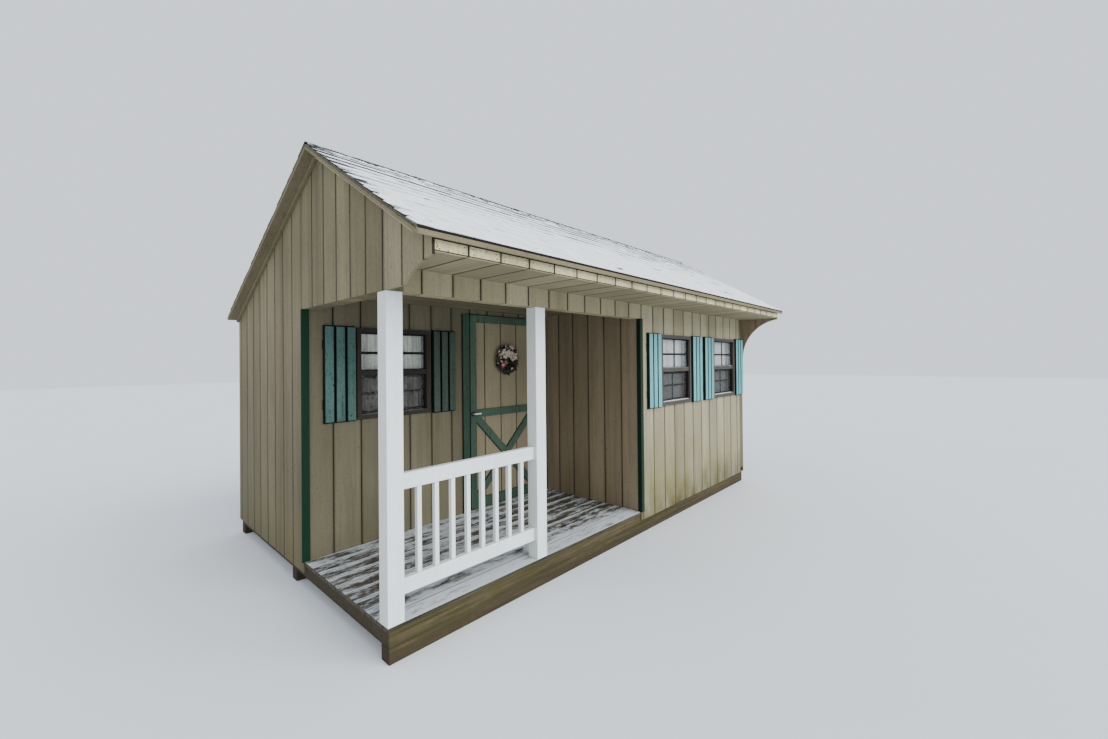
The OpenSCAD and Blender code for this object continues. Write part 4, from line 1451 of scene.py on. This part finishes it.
        for corner in cloth.data.vertices:
            share, drop = corner.co.x + 0.5, corner.co.y + 0.5
            calm = tight if drop > self.heading else upper + (1 - upper) * (1 - drop)
            out = abs(fold(share)) if drop > self.tunnel else fold(share) + self.hang
            corner.co = (self.middle + (share - 0.5) * wide, depth + self.rod_clearance + out * calm,
                         low + (high - low) * drop)
        steps = [fold(i / self.samples) * self.mean_calm for i in range(self.samples + 1)]
        run = sum(math.hypot(b - a, wide / self.samples) for a, b in zip(steps, steps[1:]))
        apply(cloth, "SOLIDIFY", thickness=self.cloth_thick, offset=0)
        bpy.ops.object.shade_smooth()
        hand_over(cloth, self.cloth, "white_paint")
        round(high - low, 3)


WINDOWS = (
    Window("porch_light", -1.7545, LINES.porch, 1.201, 1.519, 1.837, cloth="aged_curtain",
           mesh="frosted_mesh", snowy=False),
    Window("front_light_left", 0.6465, LINES.front),
    Window("front_light_right", 1.8265, LINES.front),
)


@dataclass(frozen=True)
class ShutterShadowBacks:
    """Near-black boards behind the shutters, against the siding: painted shade for the gaps between the
    boards and the shutters' sides.
    """

    wide: float = 0.230
    left: float = -0.552
    right: float = 0.334
    tall: float = 0.042
    faces: Pair = (-0.0118, -0.0006)

    def build(self) -> None:
        """Set one behind each shutter."""
        backs = [window.block("back", (start, start + self.wide), self.faces,
                              (window.foot - self.tall, window.head + self.tall))
                 for window in WINDOWS for start in (self.left, self.right)]
        hand_over(join("shutter_backs", backs), "shutter_dark", "teal_paint")


# Wreath


@dataclass(frozen=True)
class Strewn:
    """How copies of one model are strewn over the wreath's ring.

    Sizes are in metres and angles in degrees; span is counted from the ring's right side.
    """

    count: int
    seed: int
    span: Pair
    tilt: float
    big: Pair = (0.8, 1.2)
    inward: Pair = (0.0, 0.0)
    raised: float = 0.0
    petal: float = 0.0
    petals: int = 0


LEAVES = ((0.036, 0.017, Strewn(260, 8, (0, 360), 70, inward=(0.0, 0.03))),
          (0.040, 0.020, Strewn(110, 31, (225, 350), 60, inward=(0.0, 0.06))))
WHITES = (Strewn(84, 15, (-8, 150), 28, (0.8, 1.3), (0.0, 0.062), 0.006, 0.017, 6),
          Strewn(26, 22, (120, 200), 28, (0.8, 1.2), (-0.004, 0.02), 0.0, 0.015, 5),
          Strewn(4, 41, (282, 300), 20, (0.8, 1.1), (0.0, 0.02), 0.006, 0.018, 6))
PINKS = (Strewn(8, 6, (194, 228), 20, (0.9, 1.2), (0.01, 0.05), 0.010, 0.020, 7),
         Strewn(7, 17, (84, 104), 30, (0.8, 1.1), (-0.016, -0.008), 0.0, 0.012, 5))


@dataclass(frozen=True)
class Wreath:
    """A twig ring with leaves and cloth blossoms on the door."""

    middle: Place = (-0.5915, -0.2773, 1.618)
    ring: float = 0.112
    tube: float = 0.030
    core: float = 0.62
    depths: Pair = (0.45, 0.85)
    sunk: float = 0.006
    loose_tilt: float = 30
    twig_thick: float = 0.0021
    twig_long: float = 0.045
    twig_bends: Pair = (0.006, -0.008)
    petal_wide: float = 0.8
    petal_tilts: Pair = (-38, -24)
    button: float = 0.2

    def spot(self, turn: float, lift: float, out: float) -> Matrix:
        """A place on the ring, with local X along it, Y away from its middle and Z out of the door.

        Args:
            turn: Angle on the ring.
            lift: Distance out of the door.
            out: Distance away from the ring.

        Returns:
            The place's matrix.
        """
        away = Vector((math.cos(turn), 0, math.sin(turn)))
        along = Vector((-math.sin(turn), 0, math.cos(turn)))
        front = Vector((0, -1, 0))
        return turned(along, away, front, Vector(self.middle) + away * (self.ring + out) + front * lift)

    def scatter(self, name: str, model: Piece, how: Strewn) -> Piece:
        """Strew copies of a model over the ring.

        Args:
            name: The new piece's name.
            model: What is strewn.
            how: How it is strewn.

        Returns:
            The joined copies.
        """
        draw, moves = random.Random(how.seed), []
        for _ in range(how.count):
            around = draw.uniform(0, 2 * math.pi)
            reach = self.tube * draw.uniform(*self.depths)
            lift = reach * abs(math.sin(around)) - self.sunk + how.raised
            place = self.spot(math.radians(draw.uniform(*how.span)), lift,
                              reach * math.cos(around) - draw.uniform(*how.inward))
            turn = Matrix.Identity(4)
            for axis in "XYZ":
                most = 180 if axis == "Z" and how.tilt > self.loose_tilt else how.tilt
                turn = turn @ Matrix.Rotation(math.radians(draw.uniform(-most, most)), 4, axis)
            moves.append(place @ turn @ Matrix.Scale(draw.uniform(*how.big), 4))
        return copies(name, model, moves)

    @staticmethod
    def leaf(long: float, wide: float, cup: float = 0.003) -> Piece:
        """A small cupped leaf or petal with real thickness, its base at the origin.

        Args:
            long: Its length.
            wide: Its width.
            cup: How deep its middle is.

        Returns:
            The leaf.
        """
        blade = make("leaf", bpy.ops.mesh.primitive_circle_add, (long / 2, wide / 2, 1), vertices=8,
                     radius=1, fill_type="NGON", location=(long / 2, 0, 0))
        work(blade, anywhere, bpy.ops.mesh.poke)
        shift(blade, lambda at, out: (at - Vector((long / 2, 0, 0))).length < 1e-5, (0, 0, -cup))
        return apply(blade, "SOLIDIFY", thickness=0.0007, offset=0)

    def blossom(self, long: float, petals: int) -> Piece:
        """A blossom of cupped petals round a small button.

        Args:
            long: Length of a petal.
            petals: How many petals.

        Returns:
            The blossom, facing along its local Z.
        """
        moves = [Matrix.Rotation(2 * math.pi * k / petals, 4, "Z")
                 @ Matrix.Rotation(math.radians(self.petal_tilts[k % 2]), 4, "Y")
                 for k in range(petals)]
        cup = copies("blossom", self.leaf(long, long * self.petal_wide), moves)
        button = make("button", bpy.ops.mesh.primitive_ico_sphere_add, subdivisions=1,
                      radius=long * self.button, location=(0, 0, 0.002))
        work(button, lambda at, out: at.z < 0.001, bpy.ops.transform.resize, value=(0.6, 0.6, 1))
        return join("blossom", [cup, button])

    def twigs(self) -> list[Piece]:
        """Wind the ring's core and bend twigs over it.

        Returns:
            The twigs and the core.
        """
        core = make("wreath_core", bpy.ops.mesh.primitive_torus_add, major_radius=self.ring,
                    minor_radius=self.tube * self.core, major_segments=48, minor_segments=10,
                    location=self.middle, rotation=(QUARTER, 0, 0))
        work(core, anywhere, bpy.ops.transform.vertex_random, offset=self.sunk, seed=3)
        bpy.ops.object.shade_smooth()
        twig = make("twig", bpy.ops.mesh.primitive_cylinder_add, vertices=5, radius=self.twig_thick,
                    depth=self.twig_long, location=(-0.03, 0, 0), rotation=(0, QUARTER, 0))

        def grow(lift: float) -> None:
            """Draw out the picked end and thin it."""
            bpy.ops.mesh.extrude_region_move(TRANSFORM_OT_translate={"value": (0.032, lift, 0)})
            bpy.ops.transform.resize(value=(0.8, 0.8, 0.8))

        for lift in self.twig_bends:
            work(twig, lambda at, out: out.x > 0.7 and at.x > -0.009, grow, lift=lift)
        return [self.scatter("twigs", twig, Strewn(130, 4, (0, 360), 16, (0.75, 1.1))), core]

    def build(self) -> None:
        """Wind the ring and set its twigs, leaves and blossoms."""
        twigs = self.twigs()
        leaves = [self.scatter("leaves", self.leaf(long, wide), how) for long, wide, how in LEAVES]
        whites, pinks = ([self.scatter("blossoms", self.blossom(how.petal, how.petals), how)
                          for how in rows] for rows in (WHITES, PINKS))
        for name, finish, parts in (("wreath_twigs", "twig_bark", twigs),
                                    ("wreath_leaves", "leaf_dark", leaves),
                                    ("wreath_blossoms", "petal_white", whites),
                                    ("wreath_pink_blossoms", "petal_pink", pinks)):
            hand_over(join(name, parts), finish, "wreath_flowers", "door", ("door_wreath",))


# The whole


def main() -> None:
    """Build the cabin's pieces in order and dress what is carried over."""
    logging.basicConfig(level=logging.INFO, format="%(name)s %(message)s")
    studio = Studio()
    studio.camera()
    studio.lights()
    FINISHES.update({kind.name: kind.material() for kind in (*SIDINGS, *TRIMS, *TIMBERS, *OTHERS)})
    studio.floor()
    for part in (Siding(), *SLOPES, RidgeCap(), *BOARDS, *WINDOWS, ShutterShadowBacks(), Wreath()):
        part.build()
    for node, finish in CARRIED.items():
        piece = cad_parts[node]
        piece.data.materials.clear()
        piece.data.materials.append(FINISHES[finish])
        LOG.info("node %s dressed", node)


if __name__ == "__main__":
    main()
